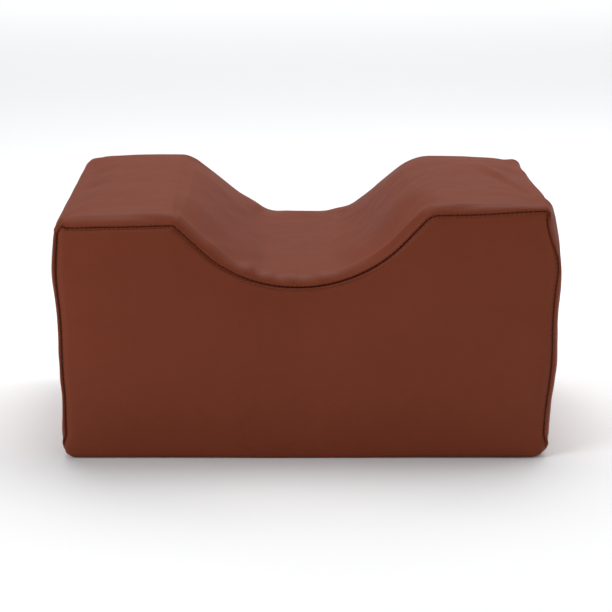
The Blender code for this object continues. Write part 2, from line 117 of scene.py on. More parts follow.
class Wire:
    """A node's output socket. Python's operators on it add Math nodes."""

    def __init__(self, nodes, socket):
        self.nodes, self.socket = nodes, socket

    def maths(self, operation, first, second=None):
        values = [first] if second is None else [first, second]
        return self.nodes.make("ShaderNodeMath", {"operation": operation}, values)

    def __add__(self, other):
        return self.maths("ADD", self, other)

    def __radd__(self, other):
        return self.maths("ADD", other, self)

    def __sub__(self, other):
        return self.maths("SUBTRACT", self, other)

    def __rsub__(self, other):
        return self.maths("SUBTRACT", other, self)

    def __mul__(self, other):
        return self.maths("MULTIPLY", self, other)

    def __rmul__(self, other):
        return self.maths("MULTIPLY", other, self)


class Nodes:
    """Adds nodes to a material's or a modifier's tree."""

    def __init__(self, tree):
        self.tree = tree

    def make(self, kind, settings=None, sockets=(), output=0):
        """Adds a node. sockets are its inputs in order, or by name or number; the rest keep theirs."""
        node = self.tree.nodes.new(kind)
        for name, value in (settings or {}).items():
            setattr(node, name, value)
        if not isinstance(sockets, dict):
            sockets = dict(enumerate(sockets))
        for name, value in sockets.items():
            if isinstance(value, Wire):
                self.tree.links.new(value.socket, node.inputs[name])
            else:
                node.inputs[name].default_value = value
        return Wire(self, node.outputs[output])

    def blend(self, share, first, second):
        """A colour between first and second."""
        return self.make("ShaderNodeMix", {"data_type": "RGBA"}, {0: share, 6: first, 7: second}, output=2)

    def place(self):
        """Where a point is on its object."""
        return self.make("ShaderNodeTexCoord", output="Object")

    def noise(self, place, scale, detail, output=0):
        """Cloudy noise at place."""
        sockets = {"Vector": place, "Scale": scale, "Detail": detail}
        return self.make("ShaderNodeTexNoise", {}, sockets, output)

    def sine(self, value):
        return self.make("ShaderNodeMath", {"operation": "SINE"}, [value])

    def ramp(self, value, start, end, first=1, last=0):
        """Goes from first to last as value goes from start to end."""
        return self.make("ShaderNodeMapRange", {}, {0: value, 1: start, 2: end, 3: first, 4: last})

    def relief(self, height):
        """A surface's normals, raised by a height in metres."""
        return self.make(
            "ShaderNodeBump", {}, {"Strength": 1.0, "Distance": 1.0, "Height": height}, "Normal"
        )


def new_material(name):
    """A fresh material, the Nodes of its tree, and its Principled shader."""
    material = bpy.data.materials.new(name)
    material.use_nodes = True
    return material, Nodes(material.node_tree), material.node_tree.nodes["Principled BSDF"]


def feed(nodes, shader, **wires):
    """Links wires to the shader's sockets: base_color to Base Color, and so on."""
    for name, wire in wires.items():
        nodes.tree.links.new(wire.socket, shader.inputs[name.replace("_", " ").title()])


LEATHER_COLOUR = (0.158, 0.0290, 0.0095, 1)
LEATHER_LIGHT = (0.200, 0.0400, 0.0150, 1)
# colour of the painted shade down in the seam grooves
SEAM_PAINTED_SHADE = (0.034, 0.0080, 0.0035, 1)
GRAIN_PER_METRE = 850
GRAIN_DEPTH = 0.00007
STITCH_PITCH = 0.0027
STITCH_PUCKER = 0.00013
LEATHER_SHINE = 0.17


def make_leather():
    leather, nodes, shader = new_material("brown_artificial_leather")
    place = nodes.place()
    warp = nodes.noise(place, 260, 2, "Color")
    bent = nodes.make("ShaderNodeVectorMath", {"operation": "SCALE"}, {0: warp, "Scale": 0.0011})
    bent = nodes.make("ShaderNodeVectorMath", {"operation": "ADD"}, {0: place, 1: bent})
    pebbles = nodes.make(
        "ShaderNodeTexVoronoi",
        {"feature": "DISTANCE_TO_EDGE"},
        {"Vector": bent, "Scale": GRAIN_PER_METRE},
        "Distance",
    )
    pebbles = nodes.make("ShaderNodeMath", {"operation": "MINIMUM"}, [pebbles * 3.2, 1.0])
    pores = nodes.noise(place, 3200, 2)
    mottle = nodes.noise(place, 22, 4)
    patches = nodes.noise(place, 140, 3)
    seam = nodes.make("ShaderNodeAttribute", {"attribute_name": "from_seam"}, output="Fac")
    # painted shade: the leather is darkened inside the seam grooves, where shade falls
    painted_groove_shade = nodes.ramp(seam, -0.0012, 0.0001)
    # painted highlight: the leather is lightened along the rolled lips beside each seam, where they catch
    # the light
    painted_lip_highlight = nodes.ramp(seam, 0.0004, 0.0050)

    tone = 0.30 + 0.55 * (mottle - 0.5) + 0.35 * (patches - 0.5) + 0.12 * pebbles + 0.22 * painted_lip_highlight
    colour = nodes.blend(tone, LEATHER_COLOUR, LEATHER_LIGHT)
    colour = nodes.blend(painted_groove_shade * 0.8, colour, SEAM_PAINTED_SHADE)
    along = nodes.make("ShaderNodeAttribute", {"attribute_name": "along_seam"}, output="Fac")
    dimple = nodes.sine(along * (2 * math.pi / STITCH_PITCH))
    near = nodes.ramp(seam, 0.0001, 0.0020)
    grain = pebbles * 0.75 + pores * 0.35
    height = grain * GRAIN_DEPTH + dimple * near * STITCH_PUCKER
    roughness = 0.50 + 0.14 * (patches - 0.5) - 0.06 * pebbles + 0.05 * (mottle - 0.5)
    feed(nodes, shader, base_color=colour, roughness=roughness, normal=nodes.relief(height))
    shader.inputs["Specular IOR Level"].default_value = LEATHER_SHINE
    return leather


leather = make_leather()

# ------------------------------------------------------------------ the block's shape
# Every panel takes its shape from one outline, which runs round the block as seen from the front. Its
# corners were cut a little unevenly, so the front face's outline differs from the back's.

HALF_DEPTH = 0.100
# Corners from the right base corner anticlockwise, as (x, z, radius)
FRONT_CORNERS = (
    (0.1452, 0.0000, 0.0100), (0.1484, 0.1540, 0.0086), (0.0715, 0.1534, 0.0165), (0.0304, 0.1104, 0.0800),
    (-0.0357, 0.1104, 0.0760), (-0.0757, 0.1474, 0.0080), (-0.1478, 0.1458, 0.0068),
    (-0.1462, 0.0000, 0.0085),
)
BACK_CORNERS = (
    (0.1445, 0.0000, 0.0110), (0.1452, 0.1502, 0.0085), (0.0728, 0.1538, 0.0340), (0.0240, 0.1166, 0.0330),
    (-0.0285, 0.1166, 0.0340), (-0.0770, 0.1545, 0.0150), (-0.1474, 0.1524, 0.0058),
    (-0.1462, 0.0000, 0.0090),
)
# How the sides stand out from straight lines between their corners, as (side, z, reach up and down, height)
SIDE_BULGES = (
    (-1, 0.112, 0.021, 0.0027), (-1, 0.034, 0.013, -0.0010),
    (1, 0.060, 0.026, 0.0030), (1, 0.108, 0.027, 0.0032), (1, 0.150, 0.012, -0.0008),
)
OUTER_SIDE = 0.125  # beyond this distance from the middle the outline belongs to a side
CORNER_STEPS = (2, 2, 2, 6, 6, 2, 2, 2)  # cloth cells along each half of a corner's arc
EDGE_STEPS = (24, 11, 4, 3, 5, 11, 24)  # and along each straight between two corners
REFINE = 3  # cells of finished leather along one cell of simulated cloth


def corner_arcs(corners):
    """The arc that rounds each corner, as (centre, spoke to its start, turn, whether it is hollow)."""
    places = np.array([corner[:2] for corner in corners])
    arcs = []
    for i, (_, _, radius) in enumerate(corners):
        back, forth = places[i - 1] - places[i], places[(i + 1) % len(places)] - places[i]
        back, forth = back / np.linalg.norm(back), forth / np.linalg.norm(forth)
        half = math.acos(np.clip(back @ forth, -1, 1)) / 2
        middle = (back + forth) / np.linalg.norm(back + forth)
        centre = places[i] + middle * radius / math.sin(half)
        spoke = places[i] + back * radius / math.tan(half) - centre
        hollow = spoke[1] * back[0] < spoke[0] * back[1]
        arcs.append((centre, spoke, (math.pi - 2 * half) * (-1 if hollow else 1), hollow))
    return arcs


def arc_point(arc, share):
    """(x, z, inward x, inward z) at a share of the way along an arc."""
    centre, spoke, turn, hollow = arc
    c, s = math.cos(turn * share), math.sin(turn * share)
    spoke = np.array([spoke[0] * c - spoke[1] * s, spoke[0] * s + spoke[1] * c])
    inward = spoke / np.linalg.norm(spoke) * (1 if hollow else -1)
    return np.concatenate([centre + spoke, inward])


def edge_points(arcs, i, refine):
    """Points from the middle of corner i to the middle of the next corner."""
    steps = CORNER_STEPS[i] * refine
    rows = [arc_point(arcs[i], 0.5 + 0.5 * k / steps) for k in range(steps)]
    leave, reach = arc_point(arcs[i], 1), arc_point(arcs[i + 1], 0)
    steps = EDGE_STEPS[i] * refine
    rows += [leave + (reach - leave) * k / steps for k in range(steps)]
    steps = CORNER_STEPS[i + 1] * refine
    return rows + [arc_point(arcs[i + 1], 0.5 * k / steps) for k in range(steps + 1)]


def base_points(top, left_arc, right_arc):
    """Points along the base from left to right, each below one of the top's."""
    left_mid, right_mid = arc_point(left_arc, 0.5)[0], arc_point(right_arc, 0.5)[0]
    rows = []
    for x in top[::-1, 0]:
        x = left_mid + (x - top[-1, 0]) / (top[0, 0] - top[-1, 0]) * (right_mid - left_mid)
        centre, spoke, _, _ = left_arc if x < 0 else right_arc
        across = (x - centre[0]) / np.linalg.norm(spoke)
        if across * x <= 0:
            rows.append((x, 0, 0, 1))
        else:
            down = -math.sqrt(max(1 - across * across, 0))
            rows.append((x, centre[1] + np.linalg.norm(spoke) * down, -across, -down))
    return np.array(rows)


def facing_out(rows, side):
    """How squarely each point of the outline faces that side's outside, from 0 to 1."""
    return np.clip(-side * rows[:, 2], 0, 1) ** 2 * (side * rows[:, 0] > OUTER_SIDE)


def ease(share):
    """A share from 0 to 1 with slow ends."""
    return share * share * (3 - 2 * share)


def block_outline(corners, refine):
    """The outline's closed row of (x, z, inward x, inward z), and the counts of its side and its top."""
    arcs = corner_arcs(corners)
    edges = [edge_points(arcs, i, refine) for i in range(len(corners) - 1)]
    right, left = np.array(edges[0]), np.array(edges[-1])
    top = np.array(edges[1] + [point for edge in edges[2:-1] for point in edge[1:]])
    base = base_points(top, arcs[-1], arcs[0])
    rows = np.vstack([right[:-1], top[:-1], left[:-1], base[:-1]])
    for side, z, reach, height in SIDE_BULGES:
        rows[:, 0] += side * height * facing_out(rows, side) * np.exp(-(((rows[:, 1] - z) / reach) ** 2))
    return rows, len(right) - 1, len(top) - 1


class Block:
    """The pillow's outside as a surface: how far round the outline, how deep, and how far inside."""

    def __init__(self, refine):
        self.front, self.side, self.top = block_outline(FRONT_CORNERS, refine)
        self.back = block_outline(BACK_CORNERS, refine)[0]
        self.count = len(self.front)
        self.seam_inset = self.seam_insets(refine)
        # How much the seams are drawn round under the base, from 0 to 1
        low = (DRAWN_UNDER_BELOW - self.front[:, 1]) / (DRAWN_UNDER_BELOW - FULLY_DRAWN_BELOW)
        self.drawn_under = ease(np.clip(low, 0, 1))

    def seam_insets(self, refine):
        """How far inside the outline the seams run: deep below the top, shallow down the sides."""
        insets = (RIGHT_SEAM_INSET, TOP_SEAM_INSET, LEFT_SEAM_INSET, BASE_SEAM_INSET)
        insets = np.repeat(insets, (self.side, self.top, self.side, self.top))
        for _ in range(INSET_BLENDING * refine * refine):
            insets = (np.roll(insets, 1) + 2 * insets + np.roll(insets, -1)) / 4
        for side, z, reach, more in SIDE_SEAM_SHIFTS:
            beside = facing_out(self.front, side)
            insets = insets + more * beside * np.exp(-(((self.front[:, 1] - z) / reach) ** 2))
        x, reach, rise = TOP_SEAM_RISE
        above = np.clip(-self.front[:, 3], 0, 1) ** 2
        insets = insets - rise * above * np.exp(-(((self.front[:, 0] - x) / reach) ** 2))
        return np.maximum(insets, LIP_RADIUS + SEAM_GAP)

    def points(self, y, inset):
        """Points round the outline at depth y, moved inwards. y and inset are numbers or rows."""
        share = np.broadcast_to((y + HALF_DEPTH) / (2 * HALF_DEPTH), (self.count,))[:, None]
        mixed = self.front * (1 - share) + self.back * share
        flat = mixed[:, :2] + mixed[:, 2:] * np.broadcast_to(inset, (self.count,))[:, None]
        return np.column_stack([flat[:, 0], np.broadcast_to(y, (self.count,)), flat[:, 1]])

    def drawn(self, y, inset):
        """The same near a face, where the seam and what lies beside it are drawn round under the base."""
        y, inset = np.broadcast_to(y, (self.count,)), inset - SEAM_DROP * self.drawn_under
        depth, inset = round_edge(HALF_DEPTH - abs(y), inset, self.drawn_under)
        return self.points(np.sign(y) * (HALF_DEPTH - depth), inset)

    def inward(self, y):
        """Unit vectors into the block at each of those points."""
        share = (y + HALF_DEPTH) / (2 * HALF_DEPTH)
        mixed = (self.front * (1 - share) + self.back * share)[:, 2:]
        mixed = mixed / np.linalg.norm(mixed, axis=1)[:, None]
        return np.column_stack([mixed[:, 0], np.zeros(self.count), mixed[:, 1]])

    def face_edges(self):
        """Numbers of the outline's points along a face's base, top, left and right, from bottom left."""
        base = np.arange(2 * self.side + self.top, 2 * self.side + 2 * self.top + 1) % self.count
        top = np.arange(self.side + self.top, self.side - 1, -1)
        left = np.arange(2 * self.side + self.top, self.side + self.top - 1, -1)
        right = np.arange(0, self.side + 1)
        return base, top, left, right

    def face(self, loop):
        """A grid of points spanned over a face between the points of the loop round it."""
        base, top, left, right = (loop[numbers] for numbers in self.face_edges())
        u = np.linspace(0, 1, self.top + 1)[None, :, None]
        v = np.linspace(0, 1, self.side + 1)[:, None, None]
        corners = (1 - u) * (1 - v) * base[0] + u * (1 - v) * base[-1]
        corners = corners + (1 - u) * v * top[0] + u * v * top[-1]
        sides = (1 - v) * base[None] + v * top[None] + (1 - u) * left[:, None] + u * right[:, None]
        return sides - corners


# ------------------------------------------------------------------ seams
# The seams are sewn inside out and turned, so each panel's edge rolls over into a groove and runs on
# inside as a seam allowance. Below the top the boxing rolls well over on to the faces; down the sides it
# barely does.

LEATHER_THICKNESS = 0.0012
LIP_RADIUS = 0.0013  # of the leather where it turns into a seam
SEAM_GAP = 0.0003
SEAM_ALLOWANCE = 0.007
TOP_SEAM_INSET = 0.0058
LEFT_SEAM_INSET = 0.0018
RIGHT_SEAM_INSET = 0.0032
# Where the side seams run further in or out, as (side, z, reach up and down, further in)
SIDE_SEAM_SHIFTS = (
    (-1, 0.112, 0.028, 0.0009), (-1, 0.012, 0.011, 0.0010),
    (1, 0.118, 0.011, -0.0017), (1, 0.145, 0.012, 0.0024),
)
# and where the top seam runs higher, towards the right corner, as (x, reach, rise)
TOP_SEAM_RISE = (0.142, 0.030, 0.0022)
BASE_SEAM_INSET = 0.0026
INSET_BLENDING = 3  # rounds of smoothing between those insets, on the cloth's grid
ROLL_SPAN = 0.0072  # leather taken up by the roll at a seam
ROLL_ROUNDNESS = 0.45  # 0 is a flat bevel, 1 a quarter ellipse
ROLL_SLOPE, LEAST_ROLL = 1.25, 0.0006  # the roll's depth is its inset times the first, plus the second
BASE_SEAM_X = 0.134
DRAWN_UNDER_BELOW, FULLY_DRAWN_BELOW = 0.016, 0.002
SEAM_DROP = 0.0037  # how far the faces run on round the base's edge to their seams
BASE_EDGE_RADIUS = 0.0030


def round_edge(depth, inset, drawn_under):
    """Bends what lies near or past the outline round the edge between a face and the base."""
    radius = BASE_EDGE_RADIUS * drawn_under
    past = radius - inset
    angle = np.clip(past / np.maximum(radius, 1e-6), 0, math.pi / 2)
    reach = radius - depth
    bent_depth = radius - reach * np.cos(angle) + np.maximum(past - radius * math.pi / 2, 0)
    bent = (past > 0) & (radius > 1e-5)
    return np.where(bent, bent_depth, depth), np.where(bent, radius - reach * np.sin(angle), inset)


def strip_row(block, span):
    """Points round the block at span across the boxing from its front seam's lip, on the front half."""
    roll = block.seam_inset - SEAM_GAP / 2 - LIP_RADIUS
    straight = min(span / ROLL_SPAN, 1)
    angle = straight * math.pi / 2
    forward = ROLL_ROUNDNESS * (1 - math.cos(angle)) + (1 - ROLL_ROUNDNESS) * straight
    y = -HALF_DEPTH + (ROLL_SLOPE * roll + LEAST_ROLL) * forward
    flat_share = max(span - ROLL_SPAN, 0) / (HALF_DEPTH - ROLL_SPAN)
    left = ROLL_ROUNDNESS * (1 - math.sin(angle)) + (1 - ROLL_ROUNDNESS) * (1 - straight)
    return y - y * flat_share, roll * left


STRIP_WIDTH = 2 * HALF_DEPTH
DRAWN_UNDER_SPAN = 0.014  # from a seam drawn under the base to where the bottom lies as it was cut


def strip_points(block, span):
    """The same anywhere across the boxing: past its middle, the back half mirrors the front."""
    side = 1 if span > STRIP_WIDTH / 2 else -1
    from_seam = min(span, STRIP_WIDTH - span)
    y, inset = strip_row(block, from_seam)
    plain = block.points(-side * y, inset)
    if from_seam >= DRAWN_UNDER_SPAN:
        return plain
    roll = block.seam_inset - SEAM_GAP / 2 - LIP_RADIUS
    seam_end = block.drawn(side * HALF_DEPTH, roll)
    y, inset = strip_row(block, DRAWN_UNDER_SPAN)
    flat_end = block.points(-side * y, inset)
    straight = seam_end + (flat_end - seam_end) * from_seam / DRAWN_UNDER_SPAN
    share = ease(from_seam / DRAWN_UNDER_SPAN)
    eased = plain + (seam_end - block.points(side * HALF_DEPTH, roll)) * (1 - share)
    return eased + (straight - eased) * np.minimum(3 * block.drawn_under, 1)[:, None]


# ------------------------------------------------------------------ stuffed shape
# The foam presses the cover out between its seams. The sewn cover is simulated as a cloth bag under
# pressure, held at its seams, at its base and at the stiff zip.

CLOTH_CELL = 0.005
CLOTH_FRAMES = 20
MOST_SWELL = 0.0046
ZIP_HEIGHT = 0.034
ZIP_STIFF_HALF_HEIGHT = 0.017
BASE_HELD_BELOW = 0.0005
AT_FACE = 0.001  # within this of a face's depth the cloth belongs to the face
# How much of its swell the boxing keeps: more where it swells upwards, less in the valley and at the
# left side's lower part
SWELL_KEPT = 0.68
UPWARD_MORE, UPWARD_STEP = 0.62, 0.001
VALLEY_LESS, VALLEY_TOP, VALLEY_FADE, VALLEY_HALF_WIDTH = 0.6, 0.142, 0.012, 0.07
LOW_LEFT_LESS, LOW_LEFT_TOP, LOW_LEFT_FADE = 0.18, 0.080, 0.02


def cloth_spans():
    """Distances across the boxing of the simulated cloth's rows."""
    flat = STRIP_WIDTH - 2 * ROLL_SPAN
    cells = round(flat / CLOTH_CELL)
    inner = ROLL_SPAN + flat * np.arange(cells + 1) / cells
    return np.concatenate([[0, ROLL_SPAN / 2], inner, [STRIP_WIDTH - ROLL_SPAN / 2, STRIP_WIDTH]])


def bag_faces(block, rows):
    """Vertex numbers of the bag's quads, the strip round it first, then its front and back faces."""
    ring = np.arange(rows * block.count).reshape(rows, block.count)
    wrapped = np.hstack([ring, ring[:, :1]])
    strip = np.stack([wrapped[:-1, :-1], wrapped[1:, :-1], wrapped[1:, 1:], wrapped[:-1, 1:]], -1)
    grids = []
    first = rows * block.count
    for row in (ring[0], ring[-1]):
        grid = np.zeros((block.side + 1, block.top + 1), int)
        base, top, left, right = (row[numbers] for numbers in block.face_edges())
        inner = (block.side - 1) * (block.top - 1)
        grid[1:-1, 1:-1] = np.arange(first, first + inner).reshape(block.side - 1, block.top - 1)
        grid[0], grid[-1], grid[:, 0], grid[:, -1] = base, top, left, right
        grids.append(grid)
        first += inner
    faces = [strip.reshape(-1, 4)]
    for grid, turned in zip(grids, (False, True)):
        quads = np.stack([grid[:-1, :-1], grid[:-1, 1:], grid[1:, 1:], grid[1:, :-1]], -1).reshape(-1, 4)
        faces.append(quads[:, ::-1] if turned else quads)
    return np.vstack(faces), grids


def swell_cover():
    """How far the stuffing moves each point of the cloth: on the strip, the front face and the back."""
    block = Block(1)
    spans = cloth_spans()
    strip = np.array([strip_points(block, span) for span in spans])
    front, back = block.face(strip[0]), block.face(strip[-1])
    flat = [strip.reshape(-1, 3), front[1:-1, 1:-1].reshape(-1, 3), back[1:-1, 1:-1].reshape(-1, 3)]
    rest = np.vstack(flat)
    faces, grids = bag_faces(block, len(spans))
    moved = simulate(rest, faces, len(spans) * block.count, block.count)
    swell = moved - rest
    length = np.linalg.norm(swell, axis=1)[:, None]
    swell = swell * MOST_SWELL * np.tanh(length / MOST_SWELL) / np.maximum(length, 1e-9)
    strip_swell = swell[: strip.shape[0] * strip.shape[1]].reshape(strip.shape)
    x, z = strip[..., :1], strip[..., 2:]
    sunk = np.clip((VALLEY_TOP - z) / VALLEY_FADE, 0, 1) * (abs(x) < VALLEY_HALF_WIDTH)
    upward = np.clip((abs(strip_swell[..., 2:]) - abs(strip_swell[..., :1])) / UPWARD_STEP, 0, 1)
    low_left = (x < 0) * np.clip((LOW_LEFT_TOP - z) / LOW_LEFT_FADE, 0, 1)
    kept = SWELL_KEPT + UPWARD_MORE * upward - VALLEY_LESS * sunk - LOW_LEFT_LESS * low_left
    strip_swell = strip_swell * kept
    for _ in range(2):
        beside = np.roll(strip_swell, 1, axis=1) + np.roll(strip_swell, -1, axis=1)
        strip_swell = (2 * strip_swell + beside) / 4
        strip_swell[1:-1] = (strip_swell[:-2] + 2 * strip_swell[1:-1] + strip_swell[2:]) / 4
    return spans, strip_swell, softened(swell[grids[0]]), softened(swell[grids[1]])


def softened(grid):
    """A face's swell without the marks of the cloth's uneven cells."""
    for _ in range(5):
        for axis in (0, 1):
            turned = grid.swapaxes(0, axis)
            turned[1:-1] = (turned[:-2] + 2 * turned[1:-1] + turned[2:]) / 4
    return grid


def simulate(rest, faces, strip_size, row_size):
    """Runs the cloth bag under pressure and returns where its points end up."""
    mesh = bpy.data.meshes.new("cover_bag")
    mesh.from_pydata(rest.tolist(), [], faces.tolist())
    bag = bpy.data.objects.new("cover_bag", mesh)
    bpy.context.scene.collection.objects.link(bag)
    numbers = np.arange(len(rest))
    on_seam = (numbers < row_size) | ((numbers >= strip_size - row_size) & (numbers < strip_size))
    at_zip = (rest[:, 1] > HALF_DEPTH - AT_FACE) & (abs(rest[:, 2] - ZIP_HEIGHT) < ZIP_STIFF_HALF_HEIGHT)
    held = on_seam | (rest[:, 2] < BASE_HELD_BELOW) | at_zip
    bag.vertex_groups.new(name="held").add(numbers[held].tolist(), 1.0, "REPLACE")
    cloth = bag.modifiers.new("stuffing", "CLOTH")
    sheet = cloth.settings
    sheet.vertex_group_mass = "held"
    sheet.quality = 7
    sheet.mass = 0.15
    sheet.air_damping = 4
    sheet.tension_stiffness = sheet.compression_stiffness = 12
    sheet.shear_stiffness = 6
    sheet.bending_stiffness = 0.6
    sheet.use_pressure = True
    sheet.uniform_pressure_force = 4
    sheet.shrink_min = -0.006
    sheet.effector_weights.gravity = 0
    cloth.collision_settings.use_collision = False
    cloth.point_cache.frame_start, cloth.point_cache.frame_end = 1, CLOTH_FRAMES
    for frame_number in range(1, CLOTH_FRAMES + 1):
        bpy.context.scene.frame_set(frame_number)
    graph = bpy.context.evaluated_depsgraph_get()
    shaped = bag.evaluated_get(graph).data
    moved = np.empty(len(rest) * 3)
    shaped.vertices.foreach_get("co", moved)
    bpy.context.scene.frame_set(1)
    bpy.data.objects.remove(bag)
    bpy.data.meshes.remove(mesh)
    return moved.reshape(-1, 3)


# ------------------------------------------------------------------ cover panels
# The finished cover follows the stuffed shape on a finer grid. Each panel is one sheet of leather with
# its edges turned into the seams. The boxing also carries the folds and puckers of a hand-stuffed cover.

# How far the boxing's lip leans over the front seam, as (x, z, reach, lean); below nought it stands off
SEAM_LEANS = (
    (0.1445, 0.136, 0.012, 0.0016), (-0.1465, 0.126, 0.020, -0.0008), (-0.138, 0.141, 0.009, 0.0007),
    (-0.105, 0.141, 0.020, 0.0004), (-0.050, 0.120, 0.022, 0.0005), (0.000, 0.107, 0.024, 0.0004),
    (0.050, 0.126, 0.018, 0.0003), (0.110, 0.149, 0.030, 0.0002),
)
LEAN_LIFT = 0.45  # forwards, as a share of the lean
LEAN_FADE = 0.7  # 1 would follow the lip's round
LIP_ARC = LIP_RADIUS * math.pi / 4  # from the bottom of the groove to the top of a lip, over the leather
ROLL_SHARES = (0, 0.14, 0.28, 0.42, 0.57, 0.72, 0.86, 1)
NEAR_ROLL = (0.0012, 0.0028, 0.0048)  # rows just past the roll
FLAT_CELL = 0.0027
FULL_SWELL_FROM = 0.0003  # below this the swell fades out, and none of it points inwards
BASE_BELOW = 0.0006  # what is lower lies flat on the base
LIP_DEGREES = (24, 48, 70, 90)
EDGE_PUFF = 0.0009  # how far a face panel stands up from its seam
BASE_PUFF, BASE_PUFF_REACH = 0.0011, 0.016  # and how much more it stands out low down
EDGE_PUFF_REACH = 0.0055

# Folds in the boxing's top, as (start x, start y, end x, end y, half width, height)
FOLDS = (
    (0.112, 0.020, 0.143, -0.086, 0.0042, 0.00300),
    (0.1075, 0.018, 0.1385, -0.088, 0.0040, -0.00220),
    (0.112, -0.056, 0.150, -0.086, 0.0042, 0.00090),
    (0.080, 0.070, 0.146, -0.040, 0.0130, 0.00110),
    (0.080, -0.030, 0.106, 0.056, 0.0090, 0.00070),
    (0.098, 0.020, 0.150, 0.060, 0.0080, 0.00050),
    (-0.148, 0.084, -0.108, 0.050, 0.0045, 0.00040),
    (-0.086, -0.070, -0.130, -0.030, 0.0120, 0.00040),
    (-0.080, 0.060, -0.130, 0.086, 0.0100, 0.00050),
    (-0.062, -0.112, -0.050, -0.080, 0.0045, 0.00090),
    (-0.037, -0.112, -0.032, -0.084, 0.0042, 0.00150),
    (-0.023, -0.112, -0.021, -0.086, 0.0034, 0.00090),
    (-0.010, -0.112, -0.008, -0.084, 0.0042, 0.00140),
    (0.008, -0.112, 0.010, -0.088, 0.0046, 0.00120),
    (-0.034, -0.074, 0.020, 0.020, 0.0090, 0.00060),
    (0.030, 0.040, -0.014, 0.094, 0.0080, 0.00070),
    (-0.052, 0.030, -0.034, -0.060, 0.0100, 0.00050),
    (-0.037, 0.104, -0.031, 0.060, 0.0075, 0.00240),
    (0.022, 0.104, 0.020, 0.066, 0.0080, 0.00170),
)
# Dents and bumps where the boxing is pinched at a corner, as (x, y, z, reach, height)
CORNER_PINCHES = (
    (-0.1470, -0.0985, 0.1405, 0.0042, -0.0013),
    (-0.1480, -0.0940, 0.1330, 0.0060, 0.0004),
    (0.1465, -0.0950, 0.1500, 0.0090, -0.0008),
    (0.1420, 0.0960, 0.1500, 0.0055, 0.0013),
    (0.1475, 0.0920, 0.1440, 0.0045, -0.0011),
    (-0.1450, 0.0960, 0.1480, 0.0060, -0.0008),
)

FACING_UP_GAIN = 1.6
FOLD_END, FOLD_EDGE = 0.06, 0.25  # a fold's blunt ends, and the dips beside it, as shares
CORNER_ABOVE, CORNER_BEYOND, CORNER_CALM = 0.13, 0.136, 0.3  # the top corners' share of the unevenness
# Unevenness, as (height, cell, seed)
BOXING_UNEVENNESS = ((0.00030, 0.055, 4), (0.00010, 0.019, 9))
FACE_UNEVENNESS = ((0.00022, 0.060, 21), (0.00006, 0.020, 22))


def smooth_between(knots, values, places):
    """A smooth curve through rows of values at knots, read at places."""
    slopes = np.gradient(values, knots, axis=0)
    i = np.clip(np.searchsorted(knots, places, side="right") - 1, 0, len(knots) - 2)
    wide = (-1,) + (1,) * (values.ndim - 1)
    span = (knots[i + 1] - knots[i]).reshape(wide)
    u = (places - knots[i]).reshape(wide) / span
    ahead = values[i + 1] * u * u * (3 - 2 * u) + slopes[i + 1] * span * u * u * (u - 1)
    return ahead + values[i] * (1 + 2 * u) * (1 - u) ** 2 + slopes[i] * span * u * (1 - u) ** 2


def unevenness(points, cell, seed):
    """A smooth random number from about -1 to 1 at each point, the same each time."""
    random = np.random.default_rng(seed)
    total = np.zeros(len(points))
    for _ in range(7):
        heading = random.normal(size=3)
        heading *= random.uniform(0.7, 1.4) * 2 * math.pi / cell / np.linalg.norm(heading)
        total += np.sin(points @ heading + random.uniform(0, 2 * math.pi))
    return total / 3.5


def uneven_height(points, kinds):
    """The sum of several kinds of unevenness at each point."""
    return sum(height * unevenness(points, cell, seed) for height, cell, seed in kinds)


def lay_folds(points, outward):
    """Moves the boxing's points out or in for its folds, pinches and general unevenness."""
    facing_up = np.clip(outward[:, 2] * FACING_UP_GAIN, 0, 1)
    height = uneven_height(points, BOXING_UNEVENNESS)
    in_corner = (points[:, 2] > CORNER_ABOVE) & (abs(points[:, 0]) > CORNER_BEYOND)
    height *= np.where(in_corner, CORNER_CALM, 1)
    for x0, y0, x1, y1, width, rise in FOLDS:
        run = np.array([x1 - x0, y1 - y0])
        along = ((points[:, 0] - x0) * run[0] + (points[:, 1] - y0) * run[1]) / (run @ run)
        nearest = np.clip(along, 0, 1)
        off = np.hypot(points[:, 0] - x0 - run[0] * nearest, points[:, 1] - y0 - run[1] * nearest)
        fade = np.sin(np.clip(along, FOLD_END, 1 - FOLD_END) * math.pi) ** 0.5
        across = np.exp(-((off / width) ** 2)) - FOLD_EDGE * np.exp(-((off / width / 2) ** 2))
        height += rise * facing_up * fade * across
    for x, y, z, reach, rise in CORNER_PINCHES:
        off = np.linalg.norm(points - np.array([x, y, z]), axis=1)
        height += rise * np.exp(-((off / reach) ** 2))
    return points + outward * height[:, None]


block = Block(REFINE)
cloth_rows, strip_swell, front_swell, back_swell = swell_cover()
wrapped = np.concatenate([strip_swell[:, -3:], strip_swell, strip_swell[:, :3]], axis=1).swapaxes(0, 1)
round_swell = smooth_between(
    np.arange(-3.0, strip_swell.shape[1] + 3), wrapped, np.arange(block.count) / REFINE
).swapaxes(0, 1)


def finer_face(grid):
    """A face's swell on the finished leather's grid."""
    for axis in (0, 1):
        turned = grid.swapaxes(0, axis)
        cells = len(turned) - 1
        turned = smooth_between(np.arange(cells + 1.0), turned, np.arange(cells * REFINE + 1) / REFINE)
        grid = turned.swapaxes(0, axis)
    return grid


def leather_panel(name, points, faces, from_seam, along_seam):
    """A padded sheet of leather from its outside face. Its thickness goes inwards."""
    mesh = bpy.data.meshes.new(name)
    mesh.from_pydata(np.asarray(points).tolist(), [], np.asarray(faces).tolist())
    for label, values in (("from_seam", from_seam), ("along_seam", along_seam)):
        layer = mesh.attributes.new(label, "FLOAT", "POINT")
        layer.data.foreach_set("value", np.asarray(values, np.float32))
    mesh.materials.append(leather)
    mesh.shade_smooth()
    sheet = bpy.data.objects.new(name + "_leather", mesh)
    bpy.context.scene.collection.objects.link(sheet)
    wall = sheet.modifiers.new("leather_thickness", "SOLIDIFY")
    wall.thickness = LEATHER_THICKNESS
    wall.offset = -1
    panel = as_plain_mesh(sheet)
    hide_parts(name)
    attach(panel, "pillow")


